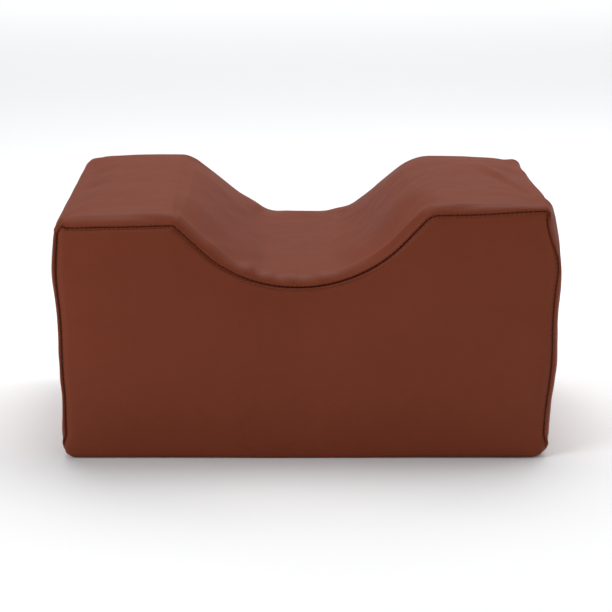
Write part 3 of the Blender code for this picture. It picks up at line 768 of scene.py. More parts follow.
def as_plain_mesh(thing):
    """Applies an object's modifiers, so that it holds just its mesh."""
    bpy.context.view_layer.update()
    graph = bpy.context.evaluated_depsgraph_get()
    mesh = bpy.data.meshes.new_from_object(thing.evaluated_get(graph))
    thing.modifiers.clear()
    thing.data = mesh
    return thing


def strip_spans():
    """Distances across the boxing of the finished leather's rows."""
    roll = ROLL_SPAN * np.array(ROLL_SHARES)
    near = ROLL_SPAN + np.array(NEAR_ROLL)
    cells = round((STRIP_WIDTH - 2 * near[-1]) / FLAT_CELL)
    middle = np.linspace(near[-1], STRIP_WIDTH - near[-1], cells + 1)[1:-1]
    half = np.concatenate([roll, near])
    return np.concatenate([half, middle, STRIP_WIDTH - half[::-1]])


def seam_rows(side):
    """Rows from the tip of the boxing's allowance to the top of its lip, at one face."""
    roll = block.seam_inset - SEAM_GAP / 2 - LIP_RADIUS
    rows, distances = [], []
    for depth in (SEAM_ALLOWANCE, SEAM_ALLOWANCE / 2):
        rows.append(block.drawn(side * (HALF_DEPTH - LIP_RADIUS - depth), roll + LIP_RADIUS))
        distances.append(-LIP_ARC - depth)
    for degrees in LIP_DEGREES[::-1]:
        angle = math.radians(degrees)
        y = side * (HALF_DEPTH - LIP_RADIUS * (1 - math.cos(angle)))
        rows.append(block.drawn(y, roll + LIP_RADIUS * math.sin(angle)))
        distances.append(LIP_RADIUS * (math.pi / 4 - angle))
    return rows, distances


def whole_strip():
    """Points of the boxing and the bottom as one closed strip, with distances from their seams."""
    spans = strip_spans()
    lip_rows, lip_distances = seam_rows(-1)
    back_rows, _ = seam_rows(1)
    swell = smooth_between(cloth_rows, round_swell, spans)
    body = []
    for span, moved in zip(spans, swell):
        points = strip_points(block, span)
        outward = -block.inward(points[:, 1].mean())
        proud = np.sum(moved * outward, axis=1)[:, None]
        points = points + moved * np.clip(proud / FULL_SWELL_FROM, 0, 1)
        points = np.where(points[:, 2:] < BASE_BELOW, points * (1, 1, 0), lay_folds(points, outward))
        body.append(points)
    rows = np.array(lip_rows + body + back_rows[::-1])
    from_seam = np.minimum(spans, STRIP_WIDTH - spans) + LIP_ARC
    return rows, np.concatenate([lip_distances, from_seam, lip_distances[::-1]])


def lean_over(rows):
    """Leans the front lip of the boxing's rows over its seam, or off it."""
    rim = block.points(-HALF_DEPTH, block.seam_inset)
    lean = np.zeros(block.count)
    for x, z, reach, amount in SEAM_LEANS:
        lean += amount * np.exp(-((rim[:, 0] - x) ** 2 + (rim[:, 2] - z) ** 2) / reach**2)
    shift = block.inward(-HALF_DEPTH) * lean[:, None] + np.outer(np.maximum(lean, 0), (0, -LEAN_LIFT, 0))
    lip = len(LIP_DEGREES) + 2
    shares = [0, 0] + [math.cos(math.radians(degrees)) ** LEAN_FADE for degrees in LIP_DEGREES[::-1]]
    shares += [1 - share for share in ROLL_SHARES]
    for row, share in zip(rows[: lip + len(ROLL_SHARES)], shares):
        row += shift * share
    return rows


strip_rows, strip_from_seam = whole_strip()
strip_rows = lean_over(strip_rows)
seam_line = block.points(-HALF_DEPTH, block.seam_inset)
seam_step = np.linalg.norm(np.roll(seam_line, -1, axis=0) - seam_line, axis=1)
seam_along = np.concatenate([[0], np.cumsum(seam_step)[:-1]])
base_numbers = block.face_edges()[0]
base_x = block.points(0, 0)[base_numbers, 0]
END_ROOM = SEAM_GAP / 2 + LIP_RADIUS  # from a base seam to where the leather starts to turn up
COLUMN_ROOM = 0.0004  # kept free beyond that, so that no column is too narrow


def strip_panel(name, numbers, end_x):
    """The part of the strip with those columns. Its ends are at +-end_x, turned up as seam allowances."""
    grid = strip_rows[:, numbers].copy()
    along = np.broadcast_to(seam_along[numbers], grid.shape[:2])
    away = np.broadcast_to(strip_from_seam[:, None], grid.shape[:2])
    first_turn = 1 if grid[0, 0, 0] > 0 else -1
    outside = abs(end_x) > BASE_SEAM_X
    turn = first_turn * (-1 if outside else 1)
    ends = []
    for column, heading, x in ((0, turn, first_turn * end_x), (-1, -turn, -first_turn * end_x)):
        grid[:, column, 0] = x
        rise = []
        for degrees in LIP_DEGREES:
            angle = math.radians(degrees)
            rise.append((heading * LIP_RADIUS * math.sin(angle), LIP_RADIUS * (1 - math.cos(angle))))
        rise.append((heading * LIP_RADIUS, LIP_RADIUS + SEAM_ALLOWANCE))
        ends.append(np.stack([grid[:, column] + (dx, 0, dz) for dx, dz in rise], axis=1))
    grid = np.concatenate([ends[0][:, ::-1], grid, ends[1]], axis=1)
    extra = len(LIP_DEGREES) + 1
    along = np.pad(along, ((0, 0), (extra, extra)), "edge")
    away = np.pad(away, ((0, 0), (extra, extra)), "edge")
    rows, columns = grid.shape[:2]
    ids = np.arange(rows * columns).reshape(rows, columns)
    faces = np.stack([ids[:-1, :-1], ids[1:, :-1], ids[1:, 1:], ids[:-1, 1:]], -1).reshape(-1, 4)
    leather_panel(name, grid.reshape(-1, 3), faces, away.ravel(), along.ravel())


left_of_seam = base_numbers[base_x < -BASE_SEAM_X - END_ROOM - COLUMN_ROOM]
right_of_seam = base_numbers[base_x > BASE_SEAM_X + END_ROOM + COLUMN_ROOM]
between_seams = base_numbers[abs(base_x) < BASE_SEAM_X - END_ROOM - COLUMN_ROOM]
over_the_top = np.arange(0, 2 * block.side + block.top)
band = [right_of_seam[:1] - 1, right_of_seam[:-1], over_the_top, left_of_seam, left_of_seam[-1:] + 1]
strip_panel("boxing_band", np.concatenate(band), BASE_SEAM_X + END_ROOM)
bottom = [between_seams[:1] - 1, between_seams, between_seams[-1:] + 1]
strip_panel("bottom_panel", np.concatenate(bottom), BASE_SEAM_X - END_ROOM)

# ------------------------------------------------------------------ front and back panels
# The two faces of the cover, crowned by the stuffing and standing up a little from the seams round them.
# The back is in two parts. Their edges at the zip are folded under and stitched down as hems.

HEM_FOLD_RADIUS = 0.00135  # to the leather's outside
HEM_GAP_HALF = 0.00505
HEM_DEPTH = 0.010
HEM_STITCH_INSET = 0.0025
HEM_NARROWING = 0.984  # the folded part is a little shorter than the panel, clear of its seams
HEM_GROOVE, HEM_GROOVE_HALF_WIDTH = 0.0005, 0.0007  # pressed in by the topstitching
HEM_FOLD_DEGREES = (30, 60, 90, 120, 150, 180)
HEM_FROM_SEAM = 0.02  # what the leather's shading takes the folded part's distance from a seam to be
NEAR_HEM = np.array([0, 0.0007, 0.0012, 0.0018, 0.0026])
FACE_SWELL_KEPT = 0.9
FACE_SMOOTHING = 80  # rounds
PUFF_STEEPNESS = 2.2
BASE_PUFF_CLEAR, WRINKLE_CLEAR = 0.002, 0.008  # distances from the rim at which they are at full height


def crowned_face(side, swell):
    """A face panel's grid of points within its lips, with the stuffing behind it."""
    rim_inset = block.seam_inset + SEAM_GAP / 2 + LIP_RADIUS - SEAM_DROP * block.drawn_under
    rim = block.points(side * HALF_DEPTH, rim_inset)
    grid = block.face(rim)
    heights = np.linalg.norm(np.diff(grid, axis=0), axis=2)
    widths = np.linalg.norm(np.diff(grid, axis=1), axis=2)
    rows, columns = len(grid) - 1, grid.shape[1] - 1
    v = np.sin(np.linspace(0, math.pi, rows + 1))[:, None] * heights.mean() * rows / math.pi
    u = np.sin(np.linspace(0, math.pi, columns + 1))[None] * widths.mean() * columns / math.pi
    from_rim = 1 / (1 / np.maximum(v, 1e-6) + 1 / np.maximum(u, 1e-6))
    puff = EDGE_PUFF * (1 - np.exp(-from_rim / EDGE_PUFF_REACH * PUFF_STEEPNESS))
    clear = np.clip(from_rim / BASE_PUFF_CLEAR, 0, 1)
    puff += BASE_PUFF * np.exp(-((grid[..., 2] / BASE_PUFF_REACH) ** 2)) * clear
    wrinkle = uneven_height(grid.reshape(-1, 3), FACE_UNEVENNESS)
    bulge = np.maximum(swell[..., 1] * side, 0) * FACE_SWELL_KEPT
    nearness = 1 / widths
    for _ in range(FACE_SMOOTHING):
        beside = bulge[:, :-2] * nearness[:, :-1] + bulge[:, 2:] * nearness[:, 1:]
        bulge[:, 1:-1] = (bulge[:, 1:-1] + beside / (nearness[:, :-1] + nearness[:, 1:])) / 2
    outward = bulge + puff
    outward += wrinkle.reshape(puff.shape) * np.clip(from_rim / WRINKLE_CLEAR, 0, 1)
    grid[..., 1] += side * outward
    return grid


def lip_rows(rim, outward, side):
    """Rows of points that carry a face panel from its rim round a lip and in to its allowance's tip."""
    rows, distances = [], []
    for degrees in LIP_DEGREES:
        angle = math.radians(degrees)
        turned = np.array([0, -side * LIP_RADIUS * (1 - math.cos(angle)), 0])
        rows.append(rim + outward * LIP_RADIUS * math.sin(angle) + turned)
        distances.append(LIP_RADIUS * (math.pi / 4 - angle))
    for depth in (SEAM_ALLOWANCE / 2, SEAM_ALLOWANCE):
        rows.append(rim + outward * LIP_RADIUS + np.array([0, -side * (LIP_RADIUS + depth), 0]))
        distances.append(-LIP_ARC - depth)
    return np.array(rows), distances


def quads(ids, turned):
    """Quads between a grid's vertex numbers."""
    faces = np.stack([ids[:-1, :-1], ids[:-1, 1:], ids[1:, 1:], ids[1:, :-1]], -1).reshape(-1, 4)
    return faces[:, ::-1] if turned else faces


def along_from(points, rim, rim_along):
    """For each point, how far it is from the rim and how far along the rim its nearest place is."""
    tree = KDTree(len(rim))
    for number, place in enumerate(rim):
        tree.insert(place, number)
    tree.balance()
    found = [tree.find(point) for point in points]
    return np.array([distance for _, _, distance in found]), rim_along[[number for _, number, _ in found]]


def drawn_face(points, side):
    """Bends a face panel's bottom edge, which was laid out flat, round under the base."""
    outline = block.front if side < 0 else block.back
    tree = KDTree(len(outline))
    for number, (x, z, _, _) in enumerate(outline):
        tree.insert((x, 0, z), number)
    tree.balance()
    low = np.flatnonzero(points[:, 2] < DRAWN_UNDER_BELOW + 2 * BASE_EDGE_RADIUS)
    near = [tree.find((x, 0, z))[1] for x, _, z in points[low]]
    inward = outline[near, 2:]
    inset = np.sum((points[low][:, [0, 2]] - outline[near, :2]) * inward, axis=1)
    depth, moved = round_edge(HALF_DEPTH - side * points[low, 1], inset, block.drawn_under[near])
    points = points.copy()
    points[low, 0] += (moved - inset) * inward[:, 0]
    points[low, 2] += (moved - inset) * inward[:, 1]
    points[low, 1] = side * (HALF_DEPTH - depth)
    return points


def face_panel(name, grid, path, outward, along, side, hem=None, upwards=1):
    """A face panel from its grid, with lips along a path of the grid's rim, and its hem's rows."""
    ids = np.arange(grid.shape[0] * grid.shape[1]).reshape(grid.shape[:2])
    flat = grid.reshape(-1, 3)
    rim = flat[path]
    rows, distances = lip_rows(rim, outward, side)
    away, beside = along_from(flat, rim, along)
    ring = np.arange(len(flat), len(flat) + rows.shape[0] * rows.shape[1]).reshape(rows.shape[:2])
    bands = np.vstack([np.asarray(path)[None], ring])
    if hem is None:
        bands = np.hstack([bands, bands[:, :1]])
    points = [flat, rows.reshape(-1, 3)]
    from_seam = [away + LIP_ARC, np.repeat(distances, rows.shape[1])]
    along_seam = [beside, np.tile(along, rows.shape[0])]
    faces = [quads(ids, side * upwards > 0), quads(bands, side < 0)]
    if hem is not None:
        first, count = len(flat) + ring.size, hem.shape[0] * hem.shape[1]
        hem_ids = np.arange(first, first + count).reshape(hem.shape[:2])
        faces.append(quads(np.vstack([ids[:1], hem_ids]), upwards < 0))
        points.append(hem.reshape(-1, 3))
        from_seam.append(np.full(count, HEM_FROM_SEAM))
        along_seam.append(np.zeros(count))
    points, faces = drawn_face(np.vstack(points), side), np.vstack(faces)
    leather_panel(name, points, faces, np.concatenate(from_seam), np.concatenate(along_seam))


def rim_path(shape):
    """A face grid's numbers round its rim, in the outline's order."""
    ids = np.arange(shape[0] * shape[1]).reshape(shape)
    right, top, left, base = ids[:-1, -1], ids[-1, :0:-1], ids[:0:-1, 0], ids[0, :-1]
    return np.concatenate([right, top, left, base])


front_grid = crowned_face(-1, finer_face(front_swell))
front_path = rim_path(front_grid.shape[:2])
face_panel("front_panel", front_grid, front_path, -block.inward(-HALF_DEPTH), seam_along, -1)


def hem_rows(edge, upwards):
    """A hem's rows: round its fold, and back up or down inside."""
    rows = []
    for degrees in HEM_FOLD_DEGREES:
        angle = math.radians(degrees)
        dz = -upwards * HEM_FOLD_RADIUS * math.sin(angle)
        dy = -HEM_FOLD_RADIUS * (1 - math.cos(angle))
        rows.append(edge * (1 - (1 - HEM_NARROWING) * degrees / 180, 1, 1) + (0, dy, dz))
    rows.append(rows[-1] + (0, 0, upwards * (HEM_DEPTH - HEM_FOLD_RADIUS)))
    return np.array(rows)


def back_part(name, upwards, shares):
    """The back's part above or below the zip, with its hem."""
    whole = crowned_face(1, finer_face(back_swell))
    far = -1 if upwards > 0 else 0
    edge_z = ZIP_HEIGHT + upwards * (HEM_GAP_HALF + HEM_FOLD_RADIUS)
    heights = edge_z + (whole[far, :, 2] - edge_z) * np.asarray(shares)[:, None]
    grid = np.empty(heights.shape + (3,))
    for column in range(whole.shape[1]):
        for axis in (0, 1):
            values = whole[:, column, axis]
            grid[:, column, axis] = np.interp(heights[:, column], whole[:, column, 2], values)
    grid[..., 2] = heights
    from_edge = abs(grid[..., 2] - edge_z)
    stitch_z = edge_z + upwards * (HEM_STITCH_INSET - HEM_FOLD_RADIUS)
    columns = whole.swapaxes(0, 1)
    stitch_y = [np.interp(stitch_z, column[:, 2], column[:, 1]) for column in columns]
    stitch_row = np.column_stack([grid[0, :, 0], stitch_y, np.full(len(stitch_y), stitch_z)])
    from_stitch = from_edge - HEM_STITCH_INSET + HEM_FOLD_RADIUS
    grid[..., 1] -= HEM_GROOVE * np.exp(-((from_stitch / HEM_GROOVE_HALF_WIDTH) ** 2))

    base, top, left, right = block.face_edges()
    outline_z = block.points(HALF_DEPTH, block.seam_inset - SEAM_DROP * block.drawn_under)[:, 2]
    outward = -block.inward(HALF_DEPTH)

    def beside(numbers, column):
        """Outward vectors and distances along the seam, down one side of the panel."""
        at = grid[:, column, 2]
        z = outline_z[numbers]
        vectors = np.column_stack([np.interp(at, z, outward[numbers, axis]) for axis in range(3)])
        return vectors, np.interp(at, z, seam_along[numbers])

    ids = np.arange(grid.shape[0] * grid.shape[1]).reshape(grid.shape[:2])
    far_numbers = top if upwards > 0 else base
    right_vectors, right_along = beside(right, -1)
    left_vectors, left_along = beside(left, 0)
    rim = [ids[:-1, -1], ids[-1, ::-1], ids[-2::-1, 0]]
    vectors = [right_vectors[:-1], outward[far_numbers[::-1]], left_vectors[-2::-1]]
    along = [right_along[:-1], seam_along[far_numbers[::-1]], left_along[-2::-1]]
    if upwards < 0:
        # the grid's rows run down from the zip; the rim still runs anticlockwise as seen from the front
        rim = [ids[:-1, 0], ids[-1], ids[-2::-1, -1]]
        vectors = [left_vectors[:-1], outward[far_numbers], right_vectors[-2::-1]]
        along = [left_along[:-1], seam_along[far_numbers], right_along[-2::-1]]
    rim, vectors, along = np.concatenate(rim), np.concatenate(vectors), np.concatenate(along)
    face_panel(name, grid, rim, vectors, along, 1, hem_rows(grid[0], upwards), upwards)
    return stitch_row


upper_rows = np.concatenate([NEAR_HEM / 0.11, np.linspace(0.04, 1, 60)])
upper_stitch_row = back_part("back_upper_panel", 1, upper_rows)
lower_rows = np.concatenate([NEAR_HEM / 0.026, np.linspace(0.16, 1, 15)])
lower_stitch_row = back_part("back_lower_panel", -1, lower_rows)

# ------------------------------------------------------------------ foam core
# The cushion inside the cover: one block of open-cell polyurethane foam, cut to the block's shape. It is
# rebated for the seam allowances, pressed in along the base seams, and a little hollowed behind the zip.

FOAM_INSET = 0.0019  # foam's surface below the leather's outside
REBATE_INSET = 0.0095
REBATE_Y = 0.0902
FOAM_FACE_Y = 0.0982
FOAM_BASE_BELOW = 0.006
BASE_SEAM_PRESS = 0.0094
BASE_SEAM_PRESS_HALF_WIDTH = 0.0024
FOAM_FULL_FROM = 0.0145  # across the boxing, beyond the rebate
FOAM_SWELL_KEPT = 0.85
ZIP_HOLLOWS = ((0.0165, 0.0960), (0.0052, 0.0944))  # (half height, depth y)
FOAM_PALE, FOAM_DARK = (0.80, 0.74, 0.55, 1), (0.52, 0.44, 0.27, 1)


def make_foam_material():
    foam, nodes, shader = new_material("open_cell_foam")
    place = nodes.place()
    cells = {"Vector": place, "Scale": 1100}
    cells = nodes.make("ShaderNodeTexVoronoi", {"feature": "F1"}, cells, "Distance")
    fine = nodes.noise(place, 2400, 2)
    patches = nodes.noise(place, 30, 3)
    colour = nodes.blend(cells * 0.8 + (patches - 0.5) * 0.6, FOAM_PALE, FOAM_DARK)
    relief = nodes.relief((1 - cells) * 0.00035 + fine * 0.00008)
    feed(nodes, shader, base_color=colour, roughness=0.88 + 0.1 * (fine - 0.5), normal=relief)
    shader.inputs["Specular IOR Level"].default_value = 0.2
    return foam


def foam_rows():
    """The foam's rows round the block from its front rim to its back rim."""
    spans = strip_spans()
    body = strip_rows[len(LIP_DEGREES) + 2 : -len(LIP_DEGREES) - 2]
    full = (spans >= FOAM_FULL_FROM) & (spans <= STRIP_WIDTH - FOAM_FULL_FROM)
    kept = np.flatnonzero(full)[::2]
    rebate = [block.points(-y, REBATE_INSET) for y in (FOAM_FACE_Y, REBATE_Y)]
    middle = []
    for i in kept:
        row = body[i] + block.inward(body[i][:, 1].mean()) * FOAM_INSET
        by_seam = abs(abs(row[:, 0]) - BASE_SEAM_X) < BASE_SEAM_PRESS_HALF_WIDTH
        pressed = by_seam & (row[:, 2] < FOAM_BASE_BELOW)
        row[pressed, 2] = BASE_SEAM_PRESS
        middle.append(row)
    end = [block.points(y, REBATE_INSET) for y in (REBATE_Y, FOAM_FACE_Y)]
    return np.array(rebate + middle + end)


def foam_face(rim, side, swell):
    """The foam's front or back face within its rim, crowned a little less than the cover."""
    grid = block.face(rim)
    grid[1:-1, 1:-1, 1] += side * np.maximum(swell[1:-1, 1:-1, 1] * side, 0) * FOAM_SWELL_KEPT
    if side > 0:
        for half_height, y in ZIP_HOLLOWS:
            behind = abs(grid[..., 2] - ZIP_HEIGHT) < half_height
            grid[behind, 1] = np.minimum(grid[behind, 1], y)
    return grid


def make_foam_core():
    rows = foam_rows()
    front = foam_face(rows[0], -1, finer_face(front_swell))
    back = foam_face(rows[-1], 1, finer_face(back_swell))
    rim = rim_path(front.shape[:2])
    rows[0], rows[-1] = front.reshape(-1, 3)[rim], back.reshape(-1, 3)[rim]
    count = rows.shape[0] * rows.shape[1]
    ring = np.arange(count).reshape(rows.shape[:2])
    around = np.hstack([ring, ring[:, :1]])
    faces = [quads(around, True)]
    points = [rows.reshape(-1, 3)]
    for grid, edge, turned in ((front, ring[0], False), (back, ring[-1], True)):
        ids = np.arange(count, count + grid.shape[0] * grid.shape[1]).reshape(grid.shape[:2])
        ids.reshape(-1)[rim] = edge
        faces.append(quads(ids, turned))
        points.append(grid.reshape(-1, 3))
        count += grid.shape[0] * grid.shape[1]
    mesh = bpy.data.meshes.new("foam_core")
    mesh.from_pydata(np.vstack(points).tolist(), [], np.vstack(faces).tolist())
    shaper = bmesh.new()
    shaper.from_mesh(mesh)
    loose = [vertex for vertex in shaper.verts if not vertex.link_faces]
    bmesh.ops.delete(shaper, geom=loose, context="VERTS")
    shaper.to_mesh(mesh)
    shaper.free()
    mesh.materials.append(make_foam_material())
    mesh.shade_smooth()
    core = bpy.data.objects.new("foam_cushion", mesh)
    bpy.context.scene.collection.objects.link(core)
    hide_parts("foam_core")
    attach(core, "pillow")


make_foam_core()

# ------------------------------------------------------------------ seam threads
# Bonded polyester thread, nearly black, down in the seams. Each stitch shows as a short bridge from one
# lip to the other. The hems at the zip are topstitched with the same thread.

THREAD_RADIUS = 0.0003
THREAD_DEPTH = 0.00078  # down in the groove
TOPSTITCH_LIFT = 0.00002
STITCH_SHARE = 0.80  # of the pitch that a stitch's arch covers
STITCH_ENDS_DOWN = 0.00042
BASE_THREAD_END, HEM_THREAD_END = 0.0925, 0.1375  # how far from the middle they reach
THREAD_DARK, THREAD_LIGHT = (0.030, 0.0085, 0.0045, 1), (0.075, 0.020, 0.0105, 1)


def make_thread_material():
    thread, nodes, shader = new_material("dark_brown_thread")
    place = nodes.place()
    strands = nodes.make(
        "ShaderNodeTexWave",
        {"wave_type": "BANDS", "bands_direction": "DIAGONAL"},
        {"Vector": place, "Scale": 900, "Distortion": 1.5},
        "Fac",
    )
    fuzz = nodes.noise(place, 4000, 2)
    colour = nodes.blend(strands * 0.7 + fuzz * 0.3, THREAD_DARK, THREAD_LIGHT)
    relief = nodes.relief(strands * 0.00006 + fuzz * 0.00003)
    feed(nodes, shader, base_color=colour, roughness=0.55 + 0.15 * (fuzz - 0.5), normal=relief)
    shader.inputs["Specular IOR Level"].default_value = 0.35
    return thread


def new_shape_tree(name, inputs):
    """A Geometry Nodes tree with a mesh in and out and the named inputs. Returns it, its Nodes and them."""
    tree = bpy.data.node_groups.new(name, "GeometryNodeTree")
    tree.interface.new_socket("Geometry", in_out="INPUT", socket_type="NodeSocketGeometry")
    tree.interface.new_socket("Geometry", in_out="OUTPUT", socket_type="NodeSocketGeometry")
    for label, kind in inputs:
        tree.interface.new_socket(label, in_out="INPUT", socket_type=kind)
    nodes = Nodes(tree)
    start = tree.nodes.new("NodeGroupInput")
    return tree, nodes, {socket.name: Wire(nodes, socket) for socket in start.outputs if socket.name}


def finish_tree(tree, nodes, shape, material):
    """Makes the shape real geometry with its material, and sends it out."""
    real = nodes.make("GeometryNodeRealizeInstances", {}, {"Geometry": shape})
    painted = nodes.make("GeometryNodeSetMaterial", {}, {"Geometry": real, "Material": material})
    end = tree.nodes.new("NodeGroupOutput")
    tree.links.new(painted.socket, end.inputs["Geometry"])


def shaped_by(thing, tree, values):
    """Runs a tree on an object with the named inputs' values, and leaves it a plain mesh."""
    maker = thing.modifiers.new(tree.name, "NODES")
    maker.node_group = tree
    for item in tree.interface.items_tree:
        if item.in_out == "INPUT" and item.name in values:
            maker[item.identifier] = values[item.name]
    return as_plain_mesh(thing)


def make_stitch_tree(material):
    """Stitches along a line, each an arch of round thread that stands up towards Facing."""
    inputs = (("Pitch", "NodeSocketFloat"), ("Radius", "NodeSocketFloat"), ("Facing", "NodeSocketVector"))
    tree, nodes, given = new_shape_tree("stitch_row", inputs)
    line = nodes.make("GeometryNodeMeshToCurve", {}, {"Mesh": given["Geometry"]})
    places = {"Curve": line, "Length": given["Pitch"]}
    places = nodes.make("GeometryNodeResampleCurve", {"mode": "LENGTH"}, places)
    reach = given["Pitch"] * (STITCH_SHARE / 2)
    ends = nodes.make("ShaderNodeCombineXYZ", {}, [-1 * reach, 0.0, -STITCH_ENDS_DOWN])
    others = nodes.make("ShaderNodeCombineXYZ", {}, [reach, 0.0, -STITCH_ENDS_DOWN])
    arch = nodes.make(
        "GeometryNodeCurveQuadraticBezier",
        {},
        {"Resolution": 6, "Start": ends, "Middle": (0, 0, STITCH_ENDS_DOWN), "End": others},
    )
    ring = nodes.make("GeometryNodeCurvePrimitiveCircle", {}, {"Resolution": 7, "Radius": given["Radius"]})
    stitch = {"Curve": arch, "Profile Curve": ring, "Fill Caps": True}
    stitch = nodes.make("GeometryNodeCurveToMesh", {}, stitch)
    heading = nodes.make("GeometryNodeInputTangent")
    turn = nodes.make("FunctionNodeAlignRotationToVector", {"axis": "X"}, {"Vector": heading})
    turn = nodes.make(
        "FunctionNodeAlignRotationToVector",
        {"axis": "Z", "pivot_axis": "X"},
        {"Rotation": turn, "Vector": given["Facing"]},
    )
    row = nodes.make(
        "GeometryNodeInstanceOnPoints", {}, {"Points": places, "Instance": stitch, "Rotation": turn}
    )
    row = nodes.make("GeometryNodeSetShadeSmooth", {}, {"Geometry": row})
    finish_tree(tree, nodes, row, material)
    return tree


thread_material = make_thread_material()
stitch_tree = make_stitch_tree(thread_material)


def line_object(name, points, closed=False):
    """An object of edges through points."""
    edges = [(i, i + 1) for i in range(len(points) - 1)]
    if closed:
        edges.append((len(points) - 1, 0))
    mesh = bpy.data.meshes.new(name)
    mesh.from_pydata(np.asarray(points).tolist(), edges, [])
    line = bpy.data.objects.new(name, mesh)
    bpy.context.scene.collection.objects.link(line)
    return line


def sew(name, points, facing, closed=False):
    """A row of stitches through points, in place of the CAD thread of that name."""
    row = line_object(name + "_stitches", points, closed)
    shaped_by(row, stitch_tree, {"Pitch": STITCH_PITCH, "Radius": THREAD_RADIUS, "Facing": facing})
    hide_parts(name)
    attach(row, "pillow")


for name, side in (("front_seam_thread", -1), ("back_seam_thread", 1)):
    groove_line = block.drawn(side * (HALF_DEPTH - THREAD_DEPTH), block.seam_inset)
    sew(name, groove_line, (0, side, 0), closed=True)
for name, x in (("base_seam_thread_left", -BASE_SEAM_X), ("base_seam_thread_right", BASE_SEAM_X)):
    run = [(x, y, THREAD_DEPTH) for y in np.linspace(-BASE_THREAD_END, BASE_THREAD_END, 80)]
    sew(name, run, (0, 0, -1))
for name, row in (("hem_thread_upper", upper_stitch_row), ("hem_thread_lower", lower_stitch_row)):
    sewn = row[abs(row[:, 0]) < HEM_THREAD_END] + (0, TOPSTITCH_LIFT, 0)
    sew(name, sewn, (0, 1, 0))

# ------------------------------------------------------------------ zip
# A nylon coil zip across the back, sewn under both hems. Woven tapes carry the two coils, whose turns
# mesh into each other. The slider, its pull and the stops are of antique brass.

COIL_PITCH = 0.00125
FILAMENT_RADIUS = 0.00026
COIL_Y = 0.0981
COIL_HALF_THICKNESS = 0.00054
COIL_ENDS = (-0.1176, 0.1145)
COIL_INNER, COIL_OUTER = -0.00022, 0.00190  # a turn's reach past the centre line, and away from it
COIL_STEPS = 10
WEAVE_PITCH = 0.0009
COIL_DARK, COIL_LIGHT = (0.040, 0.012, 0.007, 1), (0.080, 0.026, 0.015, 1)
TAPE_DARK, TAPE_LIGHT = (0.028, 0.009, 0.0055, 1), (0.070, 0.023, 0.014, 1)
BRASS_DARK, BRASS_LIGHT = (0.20, 0.125, 0.055, 1), (0.52, 0.37, 0.19, 1)


def make_coil_material():
    coil, nodes, shader = new_material("brown_nylon")
    place = nodes.place()
    streaks = nodes.noise(place, 1500, 2)
    patches = nodes.noise(place, 60, 2)
    colour = nodes.blend(patches * 0.6 + streaks * 0.4, COIL_DARK, COIL_LIGHT)
    relief = nodes.relief(streaks * 0.00002)
    feed(nodes, shader, base_color=colour, roughness=0.32 + 0.12 * (streaks - 0.5), normal=relief)
    return coil


def make_tape_material():
    tape, nodes, shader = new_material("brown_woven_tape")
    place = nodes.place()
    apart = nodes.tree.nodes.new("ShaderNodeSeparateXYZ")
    nodes.tree.links.new(place.socket, apart.inputs[0])
    x, z = Wire(nodes, apart.outputs["X"]), Wire(nodes, apart.outputs["Z"])
    across = nodes.sine(x * (2 * math.pi / WEAVE_PITCH))
    down = nodes.sine(z * (2 * math.pi / WEAVE_PITCH))
    weave = across * down * 0.5 + 0.5
    fuzz = nodes.noise(place, 1800, 3)
    colour = nodes.blend(weave * 0.6 + fuzz * 0.4, TAPE_DARK, TAPE_LIGHT)
    relief = nodes.relief(weave * 0.00009 + fuzz * 0.00003)
    feed(nodes, shader, base_color=colour, roughness=0.82 + 0.1 * (fuzz - 0.5), normal=relief)
    shader.inputs["Sheen Weight"].default_value = 0.25
    shader.inputs["Specular IOR Level"].default_value = 0.25
    return tape


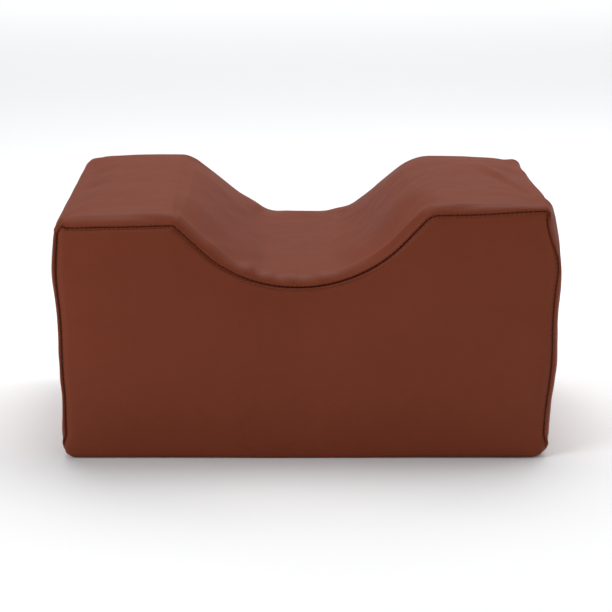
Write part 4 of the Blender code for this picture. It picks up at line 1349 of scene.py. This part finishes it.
def make_zip_metal():
    metal, nodes, shader = new_material("antique_brass")
    place = nodes.place()
    tarnish = nodes.noise(place, 320, 4)
    brushed = nodes.noise(place, 2600, 2)
    worn = nodes.make("ShaderNodeNewGeometry", output="Pointiness")
    edges = nodes.ramp(worn, 0.50, 0.58, 0, 1)
    share = nodes.ramp(tarnish, 0.35, 0.70, 0, 0.8) + edges * 0.5
    colour = nodes.blend(share, BRASS_DARK, BRASS_LIGHT)
    relief = nodes.relief(brushed * 0.000012 + tarnish * 0.00002)
    feed(nodes, shader, base_color=colour, roughness=0.42 - 0.16 * tarnish + 0.08 * brushed, normal=relief)
    shader.inputs["Metallic"].default_value = 1.0
    return metal


def make_coil_tree(material):
    """A line of points made a round filament."""
    tree, nodes, given = new_shape_tree("zip_coil", (("Radius", "NodeSocketFloat"),))
    line = nodes.make("GeometryNodeMeshToCurve", {}, {"Mesh": given["Geometry"]})
    ring = nodes.make("GeometryNodeCurvePrimitiveCircle", {}, {"Resolution": 6, "Radius": given["Radius"]})
    filament = {"Curve": line, "Profile Curve": ring, "Fill Caps": True}
    coil = nodes.make("GeometryNodeCurveToMesh", {}, filament)
    coil = nodes.make("GeometryNodeSetShadeSmooth", {}, {"Geometry": coil})
    finish_tree(tree, nodes, coil, material)
    return tree


coil_tree = make_coil_tree(make_coil_material())
for name, upwards, lag in (("zip_coil_upper", 1, 0), ("zip_coil_lower", -1, 0.5)):
    turns = int((COIL_ENDS[1] - COIL_ENDS[0]) / COIL_PITCH) - 1
    turned = np.arange(turns * COIL_STEPS + 1) / COIL_STEPS
    angle = 2 * math.pi * turned
    middle, reach = (COIL_INNER + COIL_OUTER) / 2, (COIL_OUTER - COIL_INNER) / 2
    filament = np.column_stack([
        COIL_ENDS[0] + (turned + lag + 0.5) * COIL_PITCH,
        COIL_Y + COIL_HALF_THICKNESS * np.sin(angle),
        ZIP_HEIGHT + upwards * (middle - reach * np.cos(angle)),
    ])
    coil = shaped_by(line_object(name + "_filament", filament), coil_tree, {"Radius": FILAMENT_RADIUS})
    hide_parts(name)
    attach(coil, "pillow")

tape_material = make_tape_material()
for name in ("zip_tape_upper", "zip_tape_lower"):
    bpy.data.objects[name].material_slots[0].material = tape_material
zip_metal = make_zip_metal()
for name in ("zip_top_stop_upper", "zip_top_stop_lower", "zip_bottom_stop", "zip_slider", "zip_pull"):
    bpy.data.objects[name].material_slots[0].material = zip_metal
